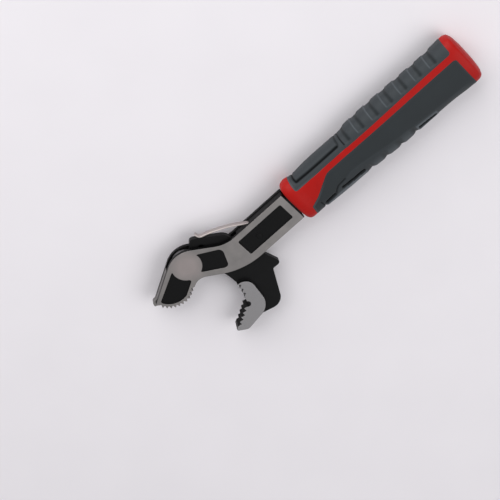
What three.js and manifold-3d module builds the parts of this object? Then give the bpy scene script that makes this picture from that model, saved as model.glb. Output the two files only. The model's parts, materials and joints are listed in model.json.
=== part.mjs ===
// Self-adjusting pipe wrench for one hand. Two riveted side plates carry a toothed beak and a round head.
// A hook jaw swings between them on one pin, a leaf spring on its tail presses it shut, and two soft pads
// sit on the hard core of the grip.
// Millimetres, +Z up. The tool lies flat: the pivot axis is Z, the grip runs along +X, the back face is at
// z = 0.

import * as THREE from "three";
import { mergeVertices } from "three/addons/utils/BufferGeometryUtils.js";
import Module from "manifold-3d";

const wasm = await Module();
wasm.setup();

// Clearances
const seatGap = 0.3; // round a piece that sits in its seat
const runningGap = 0.2; // round the pivot pin inside its bush
const sideGap = 0.3; // each side of the hook between the plates
const overrun = 1.5; // how far a cutter reaches past the face it cuts

// Side plates
const plateThickness = 3.2;
const gapWidth = 5.6;
const headReach = 39.5; // pivot axis to the tip of the beak
const tipRadius = 1.0;
const blockTipRadius = 1.2;
const beakRadius = 19.2; // the beak's lower edge over the tooth crests
const throatRadius = 9.8;
const neckRadius = 25;
const crownRadius = 19.7;
const bellyRadius = 78;
const panelDepth = 0.8;
const panelCornerRadius = 1.2;
const panelRim = 3.9; // land between the beak's tooth crests and its sunk panel
const bossRadius = 11.9; // round land over the pivot, between the two head panels

// Places on the head, as shares of headReach: x to the right, y up
const tipCornerShares = [-1.01, -0.183];
const beakCentreShares = [-0.529, -0.076];
const crownCornerShares = [0.025, 0.4];
const throatCornerShares = [-0.03, -0.339];
const blockRegionShares = [
  [-1.3, -1.0],
  [-0.185, -1.0],
  [-0.185, -0.25],
  [-0.3, 0.05],
  [-0.41, 0.3],
  [-1.3, 0.3],
];
const blockTipShares = [-1.068, -0.228]; // the block's nose stands out past the plates
const blockBrowShares = [
  [-0.905, -0.125, 0.04],
  [-1.028, -0.128, 0.042],
];
const jawDowelShares = [
  [-0.69, -0.245],
  [-0.455, -0.235],
];

// Corners of the two sunk head panels, with corner radii
const headPanelShares = [
  [0.11, -0.29, 0.03],
  [0.565, -0.6, 0.075],
  [0.735, -0.215, 0.11],
  [0.3, 0.055, 0.03],
];
const beakPanelTipShares = [-0.89, -0.2, 0.03];
const beakPanelThroatShares = [-0.151, -0.293, 0.03];
const beakPanelRootShares = [-0.285, 0.115, 0.03];

// Slopes of the straight edges of the head, rise over run
const crownBackSlopeShare = 0.754;
const throatSlopeShare = 0.705;

// Teeth of the beak
const beakToothPitch = 3.6;
const beakToothDepth = 2.3;
const toothLeanShare = 0.62; // where along the pitch the crest stands
const beakStartTurnShare = 0.5658; // first gullet, as a share of a full turn about the beak's centre
const beakEndTurnShare = 0.7917;
const flankTeethShare = 0.62; // toothed share of the flank between the beak and the throat

// Shank and tang
const shankWidth = 26;
const shankDrop = 21.3; // the shank's centre line lies this far below the pivot
const shankLength = 90.4; // pivot axis to the end of the bright shank
const shankEdgeRadius = 0.8;
const shankPanelStart = 41;
const shankPanelEndRim = 6.2;
const shankPanelTopRim = 4.9;
const shankPanelBottomRim = 6.3;
const tangWidth = 17;
const tangLength = 116;
const spacerInset = 0.5;

// Pivot: pin, bush and washers
const pinRadius = 5.0;
const pinHeadRadius = 7.0;
const pinHeadShare = 0.62; // depth of the flush head, as a share of the plate
const blindShare = 0.66; // depth of a blind seat, as a share of the plate
const bushWall = 1.6;
const washerThickness = 0.6;
const washerLand = 2.4; // width of the washers outside the bush
const eyeWall = 1.6; // wall of the hook's eye outside the washers

// Rivets, and pins that end blind inside both plates
const rivetRadius = 1.7;
const rivetHeadRadius = 2.5;
const rivetHeadDepth = 0.8;
const dowelRadius = 2.0;
const dowelBlindShare = 0.42;
const shankRivetLand = 5.6; // from the spacer's sloped end to the shank's rivet
const shankDowelInset = 10.4; // from the end of the shank back to its dowel
const tangRivetShares = [0.24, 0.82]; // places along tangLength
const stopPinRadius = 2.0;
const stopPinReach = 18; // pivot axis to the stop pin
const stopPinTurnShare = -0.086;
const slotGap = 0.4; // round the stop pin in its slot

// Travel of the hook from the stored pose, as shares of a full turn
const closeTurnShare = 38 / 360;
const openTurnShare = 9 / 360;

// Hook jaw
const hookDrop = 75.3; // pivot axis to the lowest point of the hook's head
const hookToothPitch = 4.1;
const hookToothDepth = 2.3;
const hookNotchRadius = 2.4;
const hookNoseLandShare = 0.9; // share of the lower flank that is toothed
const hookNotchLandShare = 0.16; // plain share of the lower flank next to the notch
const stopFaceGap = 0.7; // between the opened hook and the end of the spacer

// Places on the hook, as shares of hookDrop: x, y and corner radius
const mouthTopShares = [0.2085, -0.529];
const mouthApexShares = [0.1467, -0.7357];
const mouthNoseShares = [-0.1713, -0.923];
const notchCentreShares = [0.129, -0.773];
const headHeelShares = [
  [-0.065, -1.0, 0.066],
  [0.2775, -0.9475, 0.186],
  [0.3425, -0.539, 0.11],
];
const tabTipShares = [0.688, -0.684, 0.032];
const tailRootShares = [0.4993, -0.0359, 0.12];
const tailTopShares = [0.2155, 0.179, 0.04];
const armCornerShares = [
  [0.05, -0.11, 0],
  [0.2, -0.365, 0.18],
  [0.212, -0.585, 0],
  [0.226, -0.8, 0],
  [0.086, -0.963, 0],
  [0.372, -1.056, 0.133],
  [0.577, -0.68, 0.02],
  tabTipShares,
  tailRootShares,
  tailTopShares,
  [0.113, 0.073, 0],
];
const noseRadius = 1.2;

// Leaf spring
const leafThickness = 1.1;
const leafSideGap = 0.5;
const leafPinRadius = 1.3;
const leafCurlTurnShare = 0.76;
const leafTouchShare = 0.34; // where it touches the tail, along the tail's top edge
const leafEntryLand = 11.1; // from the spacer's sloped end to where it enters the shank
// Its centre line in the frame from the touch to the entry: places along and across, as shares of that
// distance, from the curled tip to the start of the eye
const leafPathShares = [
  [-0.117, 0.079],
  [-0.066, 0.02],
  [0, 0],
  [0.12, 0.022],
  [0.267, 0.035],
  [0.557, 0.046],
  [0.8, 0.032],
  [1, 0],
  [1.178, -0.031],
  [1.322, -0.058],
];

// Grip
const collarGap = 1.6; // between the end of the bright shank and the collar
const gripLength = 167;
const gripWidth = 40;
const gripThickness = 25;
const padThickness = 2.4;
const redInset = 0.25; // the hard core stands this far under the pads
const valleyHalfWidth = 3.4; // of the valleys between the ribs
const knuckleHalfWidth = 1.3;
const ribPitch = 13.9;
const ribValleyDepth = 0.7;
const fingerValleyDepth = 1.0;
const engravedWidth = 1.2;
const engravedDepth = 0.9;
const stationPitch = 9;
const superellipseShare = 2.6; // roundness of the grip's section: 2 is an ellipse, more is squarer

// The grip's shape: place along it as a share of gripLength, half widths above and below the shank's
// centre line as shares of gripWidth, and half thickness as a share of gripThickness
const gripProfileShares = [
  [0, 0.392, 0.426, 0.38],
  [0.007, 0.425, 0.463, 0.44],
  [0.021, 0.448, 0.485, 0.472],
  [0.039, 0.453, 0.485, 0.48],
  [0.06, 0.43, 0.48, 0.468],
  [0.084, 0.415, 0.48, 0.46],
  [0.156, 0.435, 0.492, 0.48],
  [0.24, 0.437, 0.505, 0.488],
  [0.335, 0.433, 0.508, 0.492],
  [0.395, 0.467, 0.535, 0.504],
  [0.467, 0.477, 0.552, 0.516],
  [0.563, 0.475, 0.572, 0.52],
  [0.647, 0.467, 0.565, 0.512],
  [0.743, 0.457, 0.565, 0.5],
  [0.838, 0.45, 0.575, 0.496],
  [0.922, 0.465, 0.605, 0.504],
  [0.97, 0.475, 0.615, 0.504],
  [0.991, 0.445, 0.575, 0.464],
  [1, 0.375, 0.5, 0.36],
];
const ribRangeShares = [0.367, 0.86];
const fingerRangeShares = [0.367, 0.637];
const knuckleShare = 0.0965;

// Lines engraved in the pads on the front and back, as places along and across the grip
const upperLineShares = [
  [0.0796, 0.47],
  [0.0778, 0.37],
  [0.087, 0.3475],
  [0.321, 0.355],
  [0.3295, 0.376],
  [0.3305, 0.47],
];
const lowerLineShares = [
  [
    [0.112, -0.3725],
    [0.1437, -0.3475],
    [0.166, -0.3375],
  ],
  [
    [0.2126, -0.3375],
    [0.272, -0.355],
    [0.3395, -0.3625],
  ],
  [
    [0.642, -0.4575],
    [0.6916, -0.475],
    [0.7335, -0.4975],
  ],
];

// Edges of the pads on the front and back, as places along the grip and across it (shares of gripLength
// and of gripWidth, measured from the shank's centre line), with corner radii as shares of gripWidth
const upperPadShares = [
  [0.044, 0.212, 0.085],
  [0.96, 0.245, 0.08],
  [0.96, 0.9, 0],
  [0.058, 0.9, 0],
];
const lowerPadShares = [
  [0.02, -0.9, 0],
  [0.96, -0.9, 0],
  [0.96, 0.1375, 0.08],
  [0.208, 0.1375, 0.28],
  [0.1, -0.135, 0.3],
  [0.0525, -0.215, 0.05],
];

// Drawing fineness
const chordGap = 0.04; // largest distance between a rounded corner and its facets
const pinSides = 40;
const rivetSides = 20;
const ringSides = 24;
const filletReachShare = 0.49; // most of a neighbouring edge that a corner may use

// Sizes that follow
const turn = 2 * Math.PI;
const bodyThickness = 2 * plateThickness + gapWidth;
const gapLow = plateThickness;
const gapHigh = plateThickness + gapWidth;
const shankTop = shankWidth / 2 - shankDrop;
const shankBottom = -shankWidth / 2 - shankDrop;
const tangTop = tangWidth / 2 - shankDrop;
const tangBottom = -tangWidth / 2 - shankDrop;
const tangEnd = shankLength + tangLength;
const midPlane = bodyThickness / 2;
const gripStart = shankLength + collarGap;
const bushRadius = pinRadius + runningGap + bushWall;
const washerRadius = bushRadius + washerLand;
const eyeRadius = washerRadius + eyeWall;
const leafWidth = gapWidth - 2 * leafSideGap;

// Materials
function metal(color, roughness, metalness) {
  return new THREE.MeshStandardMaterial({ color, roughness, metalness });
}
const groundSteel = metal(0x8e8b88, 0.42, 0.9);
const blackedSteel = metal(0x1c1c1c, 0.5, 0.6);
const springSteel = metal(0xb5aca9, 0.32, 0.95);
const brightSteel = metal(0x9a9a9a, 0.3, 0.95);
const bronze = metal(0x9c7442, 0.45, 0.85);
const redPlastic = metal(0xb3201a, 0.42, 0);
const greyRubber = metal(0x3f4649, 0.75, 0);

// Geometry helpers
function toSolid(geometry) {
  const bare = geometry.clone();
  bare.deleteAttribute("normal");
  bare.deleteAttribute("uv");
  const merged = mergeVertices(bare);
  return new wasm.Manifold(
    new wasm.Mesh({
      numProp: 3,
      vertProperties: new Float32Array(merged.attributes.position.array),
      triVerts: new Uint32Array(merged.index.array),
    }),
  );
}

function toMesh(solid, name, material) {
  const { vertProperties, triVerts } = solid.getMesh();
  const geometry = new THREE.BufferGeometry();
  geometry.setAttribute("position", new THREE.BufferAttribute(new Float32Array(vertProperties), 3));
  geometry.setIndex(new THREE.BufferAttribute(new Uint32Array(triVerts), 1));
  geometry.computeVertexNormals();
  const mesh = new THREE.Mesh(geometry, material);
  mesh.name = name;
  return mesh;
}

function join(...solids) {
  return solids.reduce((whole, next) => whole.add(next));
}

function cut(solid, ...tools) {
  return tools.reduce((rest, tool) => rest.subtract(tool), solid);
}

// An outline pulled straight up from one height to another
function prism(points, low, high) {
  const shape = new THREE.Shape(points);
  const geometry = new THREE.ExtrudeGeometry(shape, { depth: high - low, bevelEnabled: false });
  geometry.translate(0, 0, low);
  return toSolid(geometry);
}

function circle(centre, radius, sides = pinSides) {
  return Array.from({ length: sides }, (_, i) => polar(radius, (i * turn) / sides).add(centre));
}

function disc(centre, radius, low, high, sides = pinSides) {
  return prism(circle(centre, radius, sides), low, high);
}

// A turned piece standing along Z: profile points are radius and height, from low to high
function turned(profile, centre, sides = pinSides) {
  const points = profile.map(([radius, height]) => new THREE.Vector2(radius, height));
  const geometry = new THREE.LatheGeometry(points, sides);
  geometry.rotateX(turn / 4);
  geometry.translate(centre.x, centre.y, 0);
  return toSolid(geometry);
}

function polar(radius, angle) {
  return new THREE.Vector2(radius * Math.cos(angle), radius * Math.sin(angle));
}

function rotated(point, angle) {
  return point.clone().rotateAround(new THREE.Vector2(0, 0), angle);
}

function placed([x, y], scale) {
  return new THREE.Vector2(x * scale, y * scale);
}

function cornerAt([x, y, radius], scale) {
  return { at: placed([x, y], scale), radius: radius * scale };
}

// Points round an arc from one angle to another, both ends included
function arcPoints(centre, radius, from, to) {
  const step = 2 * Math.acos(Math.max(1 - chordGap / radius, 1 / 2));
  const steps = Math.max(1, Math.ceil(Math.abs(to - from) / step));
  return Array.from({ length: steps + 1 }, (_, i) =>
    polar(radius, from + ((to - from) * i) / steps).add(centre),
  );
}

// A closed outline from corners { at, radius }; a corner without a radius stays sharp
function roundedOutline(corners) {
  return corners.flatMap(({ at, radius }, i) => {
    if (!radius) return [at];
    const back = corners.at(i - 1).at.clone().sub(at);
    const ahead = corners[(i + 1) % corners.length].at.clone().sub(at);
    const bend = back.dot(ahead) / back.length() / ahead.length();
    const half = Math.acos(THREE.MathUtils.clamp(bend, -1, 1)) / 2;
    const [previous, following] = [corners.at(i - 1), corners[(i + 1) % corners.length]];
    const limit = Math.min(
      back.length() * (previous.radius ? filletReachShare : 2 * filletReachShare),
      ahead.length() * (following.radius ? filletReachShare : 2 * filletReachShare),
    );
    const reach = Math.min(radius / Math.tan(half), limit);
    const start = back.clone().setLength(reach).add(at);
    const end = ahead.clone().setLength(reach).add(at);
    const middle = start.clone().add(end).multiplyScalar(1 / 2);
    const centre = middle.clone().sub(at).setLength(reach / Math.cos(half)).add(at);
    const from = start.clone().sub(centre).angle();
    const change = end.clone().sub(centre).angle() - from;
    const sweep = Math.atan2(Math.sin(change), Math.cos(change));
    return arcPoints(centre, start.distanceTo(centre), from, from + sweep);
  });
}

function sharp(points) {
  return points.map((at) => ({ at, radius: 0 }));
}

// Saw teeth along a path: pointAt gives the place at a distance along it and a depth into the metal
function sawTeeth(pointAt, count, pitch, depth) {
  return Array.from({ length: count }, (_, i) => [
    pointAt(i * pitch, depth),
    pointAt((i + toothLeanShare) * pitch, 0),
  ]).flat();
}

function alongLine(from, to) {
  const forward = to.clone().sub(from).normalize();
  const inward = new THREE.Vector2(-forward.y, forward.x);
  return (distance, depth) => from.clone().addScaledVector(forward, distance).addScaledVector(inward, depth);
}

// Outline of both side plates, anticlockwise from the tip of the beak
const beakCentre = placed(beakCentreShares, headReach);
const throatCorner = placed(throatCornerShares, headReach);
const crownCorner = placed(crownCornerShares, headReach);

function beakOutline(tipShares, radius, browShares = []) {
  const beakFrom = beakStartTurnShare * turn;
  const beakLength = (beakEndTurnShare - beakStartTurnShare) * turn * beakRadius;
  const beakTeeth = Math.round(beakLength / beakToothPitch);
  const beakStep = beakLength / beakTeeth;
  const onBeak = (distance, depth) =>
    polar(beakRadius - depth, beakFrom + distance / beakRadius).add(beakCentre);
  const flankStart = onBeak(beakTeeth * beakStep, 0);
  const flank = alongLine(flankStart, throatCorner);
  const flankLength = flankStart.distanceTo(throatCorner) * flankTeethShare;
  const flankTeeth = Math.round(flankLength / beakToothPitch);
  const bellyCorner = new THREE.Vector2(
    throatCorner.x + (throatCorner.y - shankBottom) / throatSlopeShare,
    shankBottom,
  );
  const neckCorner = new THREE.Vector2(
    crownCorner.x + (crownCorner.y - shankTop) / crownBackSlopeShare,
    shankTop,
  );
  return roundedOutline([
    { at: placed(tipShares, headReach), radius },
    ...sharp(sawTeeth(onBeak, beakTeeth, beakStep, beakToothDepth)),
    ...sharp(sawTeeth(flank, flankTeeth, flankLength / flankTeeth, beakToothDepth)),
    { at: throatCorner, radius: throatRadius },
    { at: bellyCorner, radius: bellyRadius },
    { at: new THREE.Vector2(shankLength, shankBottom), radius: shankEdgeRadius },
    { at: new THREE.Vector2(shankLength, tangBottom), radius: 0 },
    { at: new THREE.Vector2(tangEnd, tangBottom), radius: tangWidth / 4 },
    { at: new THREE.Vector2(tangEnd, tangTop), radius: tangWidth / 4 },
    { at: new THREE.Vector2(shankLength, tangTop), radius: 0 },
    { at: new THREE.Vector2(shankLength, shankTop), radius: shankEdgeRadius },
    { at: neckCorner, radius: neckRadius },
    { at: crownCorner, radius: crownRadius },
    ...browShares.map((shares) => cornerAt(shares, headReach)),
  ]);
}
const plateOutline = beakOutline(tipCornerShares, tipRadius);

// Sunk panels: the shank's rectangle, and one on each side of the round boss
function shankPanel() {
  const left = shankPanelStart;
  const right = shankLength - shankPanelEndRim;
  const top = shankTop - shankPanelTopRim;
  const bottom = shankBottom + shankPanelBottomRim;
  return roundedOutline(
    [[left, bottom], [right, bottom], [right, top], [left, top]].map(([x, y]) => ({
      at: new THREE.Vector2(x, y),
      radius: panelCornerRadius,
    })),
  );
}

function headPanel() {
  return roundedOutline(headPanelShares.map((shares) => cornerAt(shares, headReach)));
}

function beakPanel() {
  const tip = cornerAt(beakPanelTipShares, headReach);
  const tipAngle = tip.at.clone().sub(beakCentre).angle();
  const rim = arcPoints(beakCentre, beakRadius - panelRim, tipAngle, beakEndTurnShare * turn);
  return roundedOutline([
    tip,
    ...sharp(rim.slice(1)),
    cornerAt(beakPanelThroatShares, headReach),
    cornerAt(beakPanelRootShares, headReach),
  ]);
}

// The hook's arm, and the spacer's sloped end that faces the opened arm
const armCorners = armCornerShares.map((shares) => cornerAt(shares, hookDrop));
const tabCorner = placed(tabTipShares, hookDrop);
const tailRoot = placed(tailRootShares, hookDrop);
const tailTop = placed(tailTopShares, hookDrop);

function spacerEndAt(y) {
  const [tab, root] = [tabCorner, tailRoot].map((at) => rotated(at, openTurnShare * turn));
  return tab.x + ((y - tab.y) * (root.x - tab.x)) / (root.y - tab.y) + stopFaceGap;
}

// Rivets and dowels
const rivets = [
  { name: "shank_rivet", along: spacerEndAt(-shankDrop) + shankRivetLand, sunk: panelDepth },
  { name: "tang_rivet_1", along: shankLength + tangRivetShares[0] * tangLength, sunk: 0 },
  { name: "tang_rivet_2", along: shankLength + tangRivetShares[1] * tangLength, sunk: 0 },
].map(({ name, along, sunk }) => ({ name, sunk, at: new THREE.Vector2(along, -shankDrop) }));
const dowels = [
  { name: "jaw_dowel_1", at: placed(jawDowelShares[0], headReach) },
  { name: "jaw_dowel_2", at: placed(jawDowelShares[1], headReach) },
  { name: "shank_dowel", at: new THREE.Vector2(shankLength - shankDowelInset, -shankDrop) },
];

function rivetSolid({ at, sunk }, grow) {
  const [low, high] = [sunk, bodyThickness - sunk];
  const shank = rivetRadius + grow;
  const head = rivetHeadRadius + grow;
  const reach = grow > 0 ? overrun : 0;
  return turned(
    [
      [0, low - reach],
      [head, low - reach],
      [head, low],
      [shank, low + rivetHeadDepth],
      [shank, high - rivetHeadDepth],
      [head, high],
      [head, high + reach],
      [0, high + reach],
    ].filter(([, height], i, all) => i === 0 || height !== all[i - 1][1] || all[i][0] !== all[i - 1][0]),
    at,
    rivetSides,
  );
}

// A pin across the gap that ends blind in both plates
function crossPin(at, radius, grow) {
  const reach = dowelBlindShare * plateThickness + grow;
  return disc(at, radius + grow, gapLow - reach, gapHigh + reach, rivetSides);
}
const fastenerHoles = [
  ...rivets.map((rivet) => rivetSolid(rivet, seatGap)),
  ...dowels.map(({ at }) => crossPin(at, dowelRadius, seatGap)),
];

// Pivot
const pivot = new THREE.Vector2(0, 0);
const pinTop = gapHigh + blindShare * plateThickness;

function pivotPinSolid(grow) {
  const headDepth = pinHeadShare * plateThickness;
  return turned(
    [
      [0, grow > 0 ? -overrun : 0],
      [pinHeadRadius + grow, grow > 0 ? -overrun : 0],
      [pinHeadRadius + grow, headDepth / 4],
      [pinRadius + grow, headDepth],
      [pinRadius + grow, pinTop + grow],
      [0, pinTop + grow],
    ],
    pivot,
  );
}

const stopPinPlace = polar(stopPinReach, stopPinTurnShare * turn);

// Leaf spring: the path is a smooth curve that ends in an eye round its pin
function leafCentreLine() {
  const alongTail = tailRoot.clone().sub(tailTop);
  const offTail = new THREE.Vector2(-alongTail.y, alongTail.x).setLength(leafThickness / 2 + seatGap);
  const touch = tailTop.clone().addScaledVector(alongTail, leafTouchShare).add(offTail);
  const entry = new THREE.Vector2(spacerEndAt(shankTop) + leafEntryLand, shankTop);
  const span = entry.clone().sub(touch);
  const side = new THREE.Vector2(-span.y, span.x);
  const points = leafPathShares.map(([along, across]) =>
    touch.clone().addScaledVector(span, along).addScaledVector(side, across),
  );
  const smooth = new THREE.SplineCurve(points).getPoints(2 * points.length);
  const end = points.at(-1);
  const forward = end.clone().sub(points.at(-2)).normalize();
  const radius = leafPinRadius + seatGap + leafThickness / 2;
  const centre = end.clone().add(new THREE.Vector2(forward.y, -forward.x).multiplyScalar(radius));
  const from = end.clone().sub(centre).angle();
  const eye = arcPoints(centre, radius, from, from - leafCurlTurnShare * turn);
  return { line: [...smooth, ...eye.slice(1)], eyeCentre: centre, straight: smooth };
}
const leaf = leafCentreLine();

// A strip of even thickness round a centre line
function stripOutline(line, thickness) {
  const sides = [1, -1].map((side) =>
    line.map((point, i) => {
      const before = line[Math.max(i - 1, 0)];
      const after = line[Math.min(i + 1, line.length - 1)];
      const forward = after.clone().sub(before).normalize();
      return new THREE.Vector2(-forward.y, forward.x).multiplyScalar((side * thickness) / 2).add(point);
    }),
  );
  return [...sides[0], ...sides[1].reverse()];
}

// Side plates
function sidePlate(front) {
  const low = front ? gapHigh : 0;
  const high = front ? bodyThickness : plateThickness;
  const floorLow = front ? bodyThickness - panelDepth : -overrun;
  const floorHigh = front ? bodyThickness + overrun : panelDepth;
  const boss = disc(pivot, bossRadius, floorLow - overrun, floorHigh + overrun);
  const panels = [shankPanel(), headPanel(), beakPanel()].map((outline) =>
    prism(outline, floorLow, floorHigh).subtract(boss),
  );
  return cut(
    prism(plateOutline, low, high),
    ...panels,
    ...fastenerHoles,
    pivotPinSolid(seatGap),
    crossPin(stopPinPlace, stopPinRadius, seatGap),
    crossPin(leaf.eyeCentre, leafPinRadius, seatGap),
  );
}

// Toothed block that fills the beak between the plates
function jawBlock() {
  const region = prism(
    blockRegionShares.map((shares) => placed(shares, headReach)),
    gapLow,
    gapHigh,
  );
  return cut(
    prism(beakOutline(blockTipShares, blockTipRadius, blockBrowShares), gapLow, gapHigh).intersect(region),
    disc(pivot, eyeRadius + 2 * seatGap, gapLow - overrun, gapHigh + overrun),
    ...fastenerHoles,
  );
}

// Hook jaw
const armLow = gapLow + sideGap;
const armHigh = gapHigh - sideGap;
const reliefLow = gapLow + washerThickness + sideGap;
const reliefHigh = gapHigh - washerThickness - sideGap;

function hookHeadOutline() {
  const top = placed(mouthTopShares, hookDrop);
  const apex = placed(mouthApexShares, hookDrop);
  const nose = placed(mouthNoseShares, hookDrop);
  const upperLength = top.distanceTo(apex);
  const upperTeeth = Math.round(upperLength / hookToothPitch);
  const upperStep = upperLength / upperTeeth;
  const upperStart = upperStep * (1 - toothLeanShare);
  const upper = alongLine(top, apex);
  const lowerLength = apex.distanceTo(nose);
  const lowerTeeth = Math.round((lowerLength * (hookNoseLandShare - hookNotchLandShare)) / hookToothPitch);
  const lowerStep = (lowerLength * (hookNoseLandShare - hookNotchLandShare)) / lowerTeeth;
  const lower = alongLine(apex, nose);
  const lowerStart = lowerLength * hookNotchLandShare;
  const shift = (path, start) => (distance, depth) => path(start + distance, depth);
  return roundedOutline([
    { at: top, radius: 0 },
    ...sharp(sawTeeth(shift(upper, upperStart), upperTeeth - 1, upperStep, hookToothDepth)),
    { at: apex, radius: 0 },
    ...sharp(sawTeeth(shift(lower, lowerStart), lowerTeeth, lowerStep, hookToothDepth)),
    { at: nose, radius: noseRadius },
    ...headHeelShares.map((shares) => cornerAt(shares, hookDrop)),
  ]);
}

function hookJaw() {
  const head = cut(
    prism(hookHeadOutline(), 0, bodyThickness),
    disc(placed(notchCentreShares, hookDrop), hookNotchRadius, -overrun, bodyThickness + overrun, rivetSides),
  );
  const mouth = prism(
    [mouthTopShares, mouthApexShares, mouthNoseShares].map((shares) => placed(shares, hookDrop)),
    armLow,
    armHigh,
  );
  const arm = prism(roundedOutline(armCorners), armLow, armHigh).subtract(mouth);
  const eye = disc(pivot, eyeRadius, armLow, armHigh);
  const slot = prism(
    stripOutline(
      arcPoints(
        pivot,
        stopPinReach,
        (stopPinTurnShare - openTurnShare) * turn,
        (stopPinTurnShare + closeTurnShare) * turn,
      ),
      2 * (stopPinRadius + slotGap),
    ),
    armLow - overrun,
    armHigh + overrun,
  );
  const slotEnds = [-openTurnShare, closeTurnShare].map((share) =>
    disc(
      polar(stopPinReach, (stopPinTurnShare + share) * turn),
      stopPinRadius + slotGap,
      armLow - overrun,
      armHigh + overrun,
      rivetSides,
    ),
  );
  return cut(
    join(head, arm, eye),
    slot,
    ...slotEnds,
    disc(pivot, bushRadius + seatGap, armLow - overrun, armHigh + overrun),
    disc(pivot, washerRadius + 2 * seatGap, armLow - overrun, reliefLow),
    disc(pivot, washerRadius + 2 * seatGap, reliefHigh, armHigh + overrun),
  );
}

// Spacer between the plates in the shank and tang; its sloped end faces the opened hook
function shankSpacer() {
  const top = shankTop - spacerInset;
  const bottom = shankBottom + spacerInset;
  const outline = [
    new THREE.Vector2(spacerEndAt(bottom), bottom),
    new THREE.Vector2(shankLength - spacerInset, bottom),
    new THREE.Vector2(shankLength - spacerInset, tangBottom),
    new THREE.Vector2(tangEnd, tangBottom),
    new THREE.Vector2(tangEnd, tangTop),
    new THREE.Vector2(shankLength - spacerInset, tangTop),
    new THREE.Vector2(shankLength - spacerInset, top),
    new THREE.Vector2(spacerEndAt(top), top),
  ];
  const corners = outline.map((at) => ({ at, radius: at.x === tangEnd ? tangWidth / 4 : 0 }));
  const slotWidth = leafThickness + 2 * seatGap;
  const slot = prism(stripOutline(leaf.straight, slotWidth), gapLow - overrun, gapHigh + overrun);
  const pocketRadius = leafPinRadius + leafThickness + 2 * seatGap;
  return cut(
    prism(roundedOutline(corners), gapLow, gapHigh),
    slot,
    disc(leaf.eyeCentre, pocketRadius, gapLow - overrun, gapHigh + overrun, rivetSides),
    ...fastenerHoles,
  );
}

// Grip sections
function smoothShare(share, column) {
  const rows = gripProfileShares;
  const i = Math.min(Math.max(rows.findIndex((row) => row[0] > share), 1), rows.length - 1);
  const at = share >= 1 ? rows.length - 1 : i;
  const [left, right] = [rows[at - 1], rows[at]];
  const [before, after] = [rows[Math.max(at - 2, 0)], rows[Math.min(at + 1, rows.length - 1)]];
  const width = right[0] - left[0];
  const t = THREE.MathUtils.clamp((share - left[0]) / width, 0, 1);
  const leftSlope = ((right[column] - before[column]) / (right[0] - before[0])) * width;
  const rightSlope = ((after[column] - left[column]) / (after[0] - left[0])) * width;
  const t2 = t * t;
  const t3 = t2 * t;
  return (
    (2 * t3 - 3 * t2 + 1) * left[column] +
    (t3 - 2 * t2 + t) * leftSlope +
    (3 * t2 - 2 * t3) * right[column] +
    (t3 - t2) * rightSlope
  );
}

function valleyPlaces([from, to]) {
  const count = Math.floor(((to - from) * gripLength) / ribPitch) + 1;
  return Array.from({ length: count }, (_, i) => ({
    place: from * gripLength + i * ribPitch,
    half: valleyHalfWidth,
  }));
}
const plain = { valleys: [], depth: 0, side: 0 };
const ribValleys = { valleys: valleyPlaces(ribRangeShares), depth: ribValleyDepth, side: 1 };
const fingerValleys = {
  valleys: [
    { place: knuckleShare * gripLength, half: knuckleHalfWidth },
    ...valleyPlaces(fingerRangeShares),
  ],
  depth: fingerValleyDepth,
  side: -1,
};

function valleyDepthAt(distance, { valleys, depth }) {
  const reach = valleys.map(({ place, half }) => 1 - Math.abs(distance - place) / half);
  return depth * Math.max(0, ...reach);
}

// One closed section of the grip, in the plane across it
function gripRing(distance, inset, shaping) {
  const share = distance / gripLength;
  const above = smoothShare(share, 1) * gripWidth - inset;
  const below = smoothShare(share, 2) * gripWidth - inset;
  const half = smoothShare(share, 3) * gripThickness - inset;
  const valleyCut = valleyDepthAt(distance, shaping);
  return Array.from({ length: ringSides }, (_, i) => {
    const angle = (i * turn) / ringSides;
    const [c, s] = [Math.cos(angle), Math.sin(angle)];
    const y = Math.sign(c) * Math.abs(c) ** (2 / superellipseShare) * (c > 0 ? above : below);
    const z = Math.sign(s) * Math.abs(s) ** (2 / superellipseShare) * half;
    const shrink = 1 - (Math.max(c * shaping.side, 0) * valleyCut) / Math.hypot(y, z);
    return new THREE.Vector3(gripStart + distance, y * shrink - shankDrop, z * shrink + midPlane);
  });
}

// Skin over a row of rings with the same number of points, closed at both ends
function loft(rings) {
  const sides = rings[0].length;
  const last = rings.length - 1;
  const centres = [rings[0], rings[last]].map((ring) =>
    ring.reduce((sum, point) => sum.add(point), new THREE.Vector3()).divideScalar(sides),
  );
  const points = [...rings.flat(), ...centres];
  const index = [];
  for (let j = 0; j < sides; j += 1) {
    const next = (j + 1) % sides;
    for (let i = 0; i < last; i += 1) {
      const [a, b] = [i * sides + j, i * sides + next];
      index.push(a, b, b + sides, a, b + sides, a + sides);
    }
    index.push(rings.length * sides, next, j);
    index.push(rings.length * sides + 1, last * sides + j, last * sides + next);
  }
  const geometry = new THREE.BufferGeometry().setFromPoints(points);
  geometry.setIndex(index);
  return toSolid(geometry);
}

function stations(shaping, hidden, endMargin) {
  const count = Math.ceil(gripLength / stationPitch);
  const even = Array.from({ length: count + 1 }, (_, i) => (gripLength * i) / count);
  const shaped = hidden ? [] : gripProfileShares.map(([share]) => share * gripLength);
  const first = shaping.valleys.flatMap(({ place, half }) => [place - half, place, place + half]);
  const chosen = [endMargin, gripLength - endMargin, ...first];
  [...shaped, ...even].forEach((x) => {
    const clear = chosen.every((other) => Math.abs(other - x) > stationPitch / 4);
    if (clear && x > endMargin && x < gripLength - endMargin) chosen.push(x);
  });
  return chosen.sort((a, b) => a - b);
}

function gripBody(inset, shaping = plain) {
  return loft(stations(shaping, false, 0).map((x) => gripRing(x, inset, shaping)));
}

// The hard core under the pads, plainer because nothing of it shows
function innerBody(inset) {
  return loft(stations(plain, true, inset).map((x) => gripRing(x, inset, plain)));
}

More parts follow.
